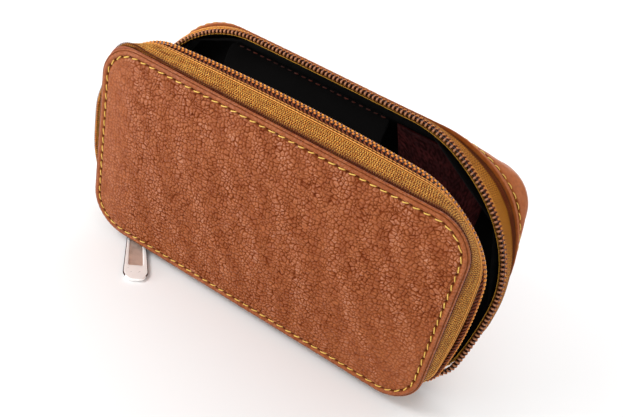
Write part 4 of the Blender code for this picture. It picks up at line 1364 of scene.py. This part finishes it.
def bent_plate(name, outer, holes, thick, bevel):
    """Bevelled plate with holes, cut across at short steps and bent along the drop."""
    cu = bpy.data.curves.new(name, "CURVE")
    cu.dimensions = "2D"
    cu.fill_mode = "BOTH"
    cu.extrude = thick / 2 - bevel
    cu.bevel_depth = bevel
    cu.bevel_resolution = 3
    cu.offset = -bevel
    for ring in [outer] + holes:
        spline = cu.splines.new("POLY")
        spline.points.add(len(ring) - 1)
        for point, (x, y) in zip(spline.points, ring):
            point.co = (x, y, 0, 1)
        spline.use_cyclic_u = True
    ob = bpy.data.objects.new(name, cu)
    bpy.context.scene.collection.objects.link(ob)
    solid = ob.evaluated_get(bpy.context.evaluated_depsgraph_get())
    me = bpy.data.meshes.new_from_object(solid)
    bpy.data.objects.remove(ob, do_unlink=True)
    bm = bmesh.new()
    bm.from_mesh(me)
    bmesh.ops.remove_doubles(bm, verts=bm.verts, dist=1e-4)
    xs = [v.co.x for v in bm.verts]
    for x in np.arange(min(xs) + 0.4, max(xs), 0.9):
        bmesh.ops.bisect_plane(bm, geom=bm.verts[:] + bm.edges[:] + bm.faces[:],
                               plane_co=(x, 0, 0), plane_no=(1, 0, 0), dist=1e-4)
    bmesh.ops.recalc_face_normals(bm, faces=bm.faces)
    bm.verts.ensure_lookup_table()
    points = np.array([tuple(v.co) for v in bm.verts])
    faces = [[v.index for v in face.verts] for face in bm.faces]
    bm.free()
    points[:, 2] += drop(points[:, 0])
    return points, faces


def trapezoid(x0, half0, x1, half1):
    return [(x0, -half0), (x1, -half1), (x1, half1), (x0, half0)]


def pull():
    # half width along the pull: x, half width
    profile = [(-0.6, 3.9), (0.35, 4.3), (5.6, 4.3), (8.8, 3.4), (12.5, 3.9), (24.0, 4.55),
               (PULL_LEN - 4.4, 5.25), (PULL_LEN - 1.3, 3.9), (PULL_LEN, 2.2)]
    outer = rounded([(x, -w) for x, w in profile] + [(x, w) for x, w in reversed(profile)],
                    0.9, 4)
    window = rounded(trapezoid(0.75, 3.1, 4.9, 3.1), 0.9, 4)
    x0, x1 = 13.6, PULL_LEN - 9.0
    recess = rounded(trapezoid(x0, 2.5, x1, 2.95), 0.6, 4)
    floor = rounded(trapezoid(x0 - 0.5, 2.9, x1 + 0.5, 3.4), 0.5, 3)
    points, faces = bent_plate("pull_plate", outer, [window, recess], thick=1.25, bevel=0.56)
    floor_points, floor_faces = bent_plate("pull_floor", floor, [], thick=0.42, bevel=0.05)
    ob = mesh_piece("pull_frame", pull_place(points), faces, M_PULL, "pull", "nickel",
                    ["pull_tab"], sharp=40)
    # the long bevels are dark
    ob.data.materials.append(M_RIM)
    profile_x, profile_w = np.array(profile).T
    for poly in ob.data.polygons:
        x, y = points[list(poly.vertices), :2].mean(0)
        at_edge = abs(y) > np.interp(x, profile_x, profile_w) - 0.70
        if at_edge and 9.0 < x < PULL_LEN - 2.4 and abs(poly.normal.z) < 0.97:
            poly.material_index = 1
    mesh_piece("pull_recess", pull_place(floor_points), floor_faces, M_RECESS, "pull", "nickel",
               sharp=40)


pull()


# ================================================================ end stops
def stop(name, replaced, half, station, side, length):
    """Small block over the coil's end, on the given side of a station."""
    x, z = (float(v[0]) for v in outline_at(half.tips, COIL_INSET, np.array([float(station)])))
    x += side * (length / 2 + 0.3)
    depth, half_depth, half_height = 2.7, 2.0, 1.3
    angle = circle(20)
    across, up = squarish(np.cos(angle), 0.4), squarish(np.sin(angle), 0.45)
    sections = []
    for u in np.linspace(-1, 1, 13):
        end = math.sqrt(max(0.0, 1 - abs(u) ** 6)) * 0.25 + 0.75
        waist = 1 - 0.12 * (abs(u) < 0.3)
        sections.append(xyz(x + u * length / 2, half.sign * (depth + end * half_depth * across),
                            z + end * half_height * waist * up))
    mesh_piece(name, *tube_mesh(np.array(sections)), M_NICKEL, half.body, "nickel", [replaced],
               sharp=50)


stop("front_top_stop", "front_zip_end_stop", FRONT, BOTTOM_RIGHT + 1, side=-1, length=2.4)
stop("back_top_stop", "back_zip_end_stop", BACK, BOTTOM_RIGHT + 1, side=-1, length=2.4)
stop("bottom_stop", "zip_bottom_stop", FRONT, BOTTOM_LEFT, side=1, length=2.0)


# ================================================================ floor, lights, camera (metres)
FLOOR_HALF, FLOOR_Z = 4, -0.0002
# name, place, target, size, watts
LIGHTS = (("key", (-0.34, -0.30, 0.40), (-0.02, 0, 0.05), (0.22, 0.22), 1.7),
          ("low", (-0.42, -0.62, 0.13), (-0.02, 0, 0.05), (0.16, 0.16), 1.6),
          ("fill", (0.6, -0.8, 0.45), (0, 0, 0.04), (0.8, 0.6), 2.0),
          ("back", (0.1, 0.7, 0.6), (0, 0, 0.05), (0.7, 0.4), 4.0))
CAMERA_PLACE = (0.1231, -0.26405, 0.25285)
CAMERA_RIGHT = (0.8292, 0.5147, 0.2179)
CAMERA_BEHIND = (0.3182, -0.7552, 0.5731)       # opposite to the view


def link_new(name, data):
    ob = bpy.data.objects.new(name, data)
    bpy.context.scene.collection.objects.link(ob)
    return ob


def build_floor():
    h = FLOOR_HALF
    me = bpy.data.meshes.new("floor")
    me.from_pydata([(x, y, FLOOR_Z) for x, y in ((-h, -h), (h, -h), (h, h), (-h, h))], [],
                   [(0, 1, 2, 3)])
    pale = Mat("floor_pale", rough=0.6, spec=0.15)
    me.materials.append(pale.set(Base_Color=(0.93, 0.93, 0.93)))
    link_new("floor", me)


def build_lights():
    world = bpy.data.worlds.new("studio")
    bpy.context.scene.world = world
    world.use_nodes = True
    background = world.node_tree.nodes["Background"]
    background.inputs["Color"].default_value = (1, 1, 1, 1)
    background.inputs["Strength"].default_value = 0.70
    for name, place, target, size, watts in LIGHTS:
        light = bpy.data.lights.new(name, "AREA")
        light.shape = "RECTANGLE"
        light.size, light.size_y = size
        light.energy = watts
        ob = link_new(name, light)
        ob.location = place
        aim = Vector(target) - Vector(place)
        ob.rotation_euler = aim.to_track_quat("-Z", "Y").to_euler()


def build_camera():
    scene = bpy.context.scene
    scene.view_settings.view_transform = "Standard"
    scene.view_settings.look = "None"
    cam = bpy.data.cameras.new("camera")
    cam.lens = 52.19
    cam.sensor_width = 36.0
    cam.clip_start, cam.clip_end = 0.01, 20
    ob = link_new("camera", cam)
    behind = Vector(CAMERA_BEHIND).normalized()
    up = behind.cross(Vector(CAMERA_RIGHT).normalized()).normalized()
    axes = Matrix((up.cross(behind), up, behind)).transposed().to_4x4()
    ob.matrix_world = Matrix.Translation(CAMERA_PLACE) @ axes
    scene.camera = ob


build_floor()
build_lights()
build_camera()
bpy.context.view_layer.update()
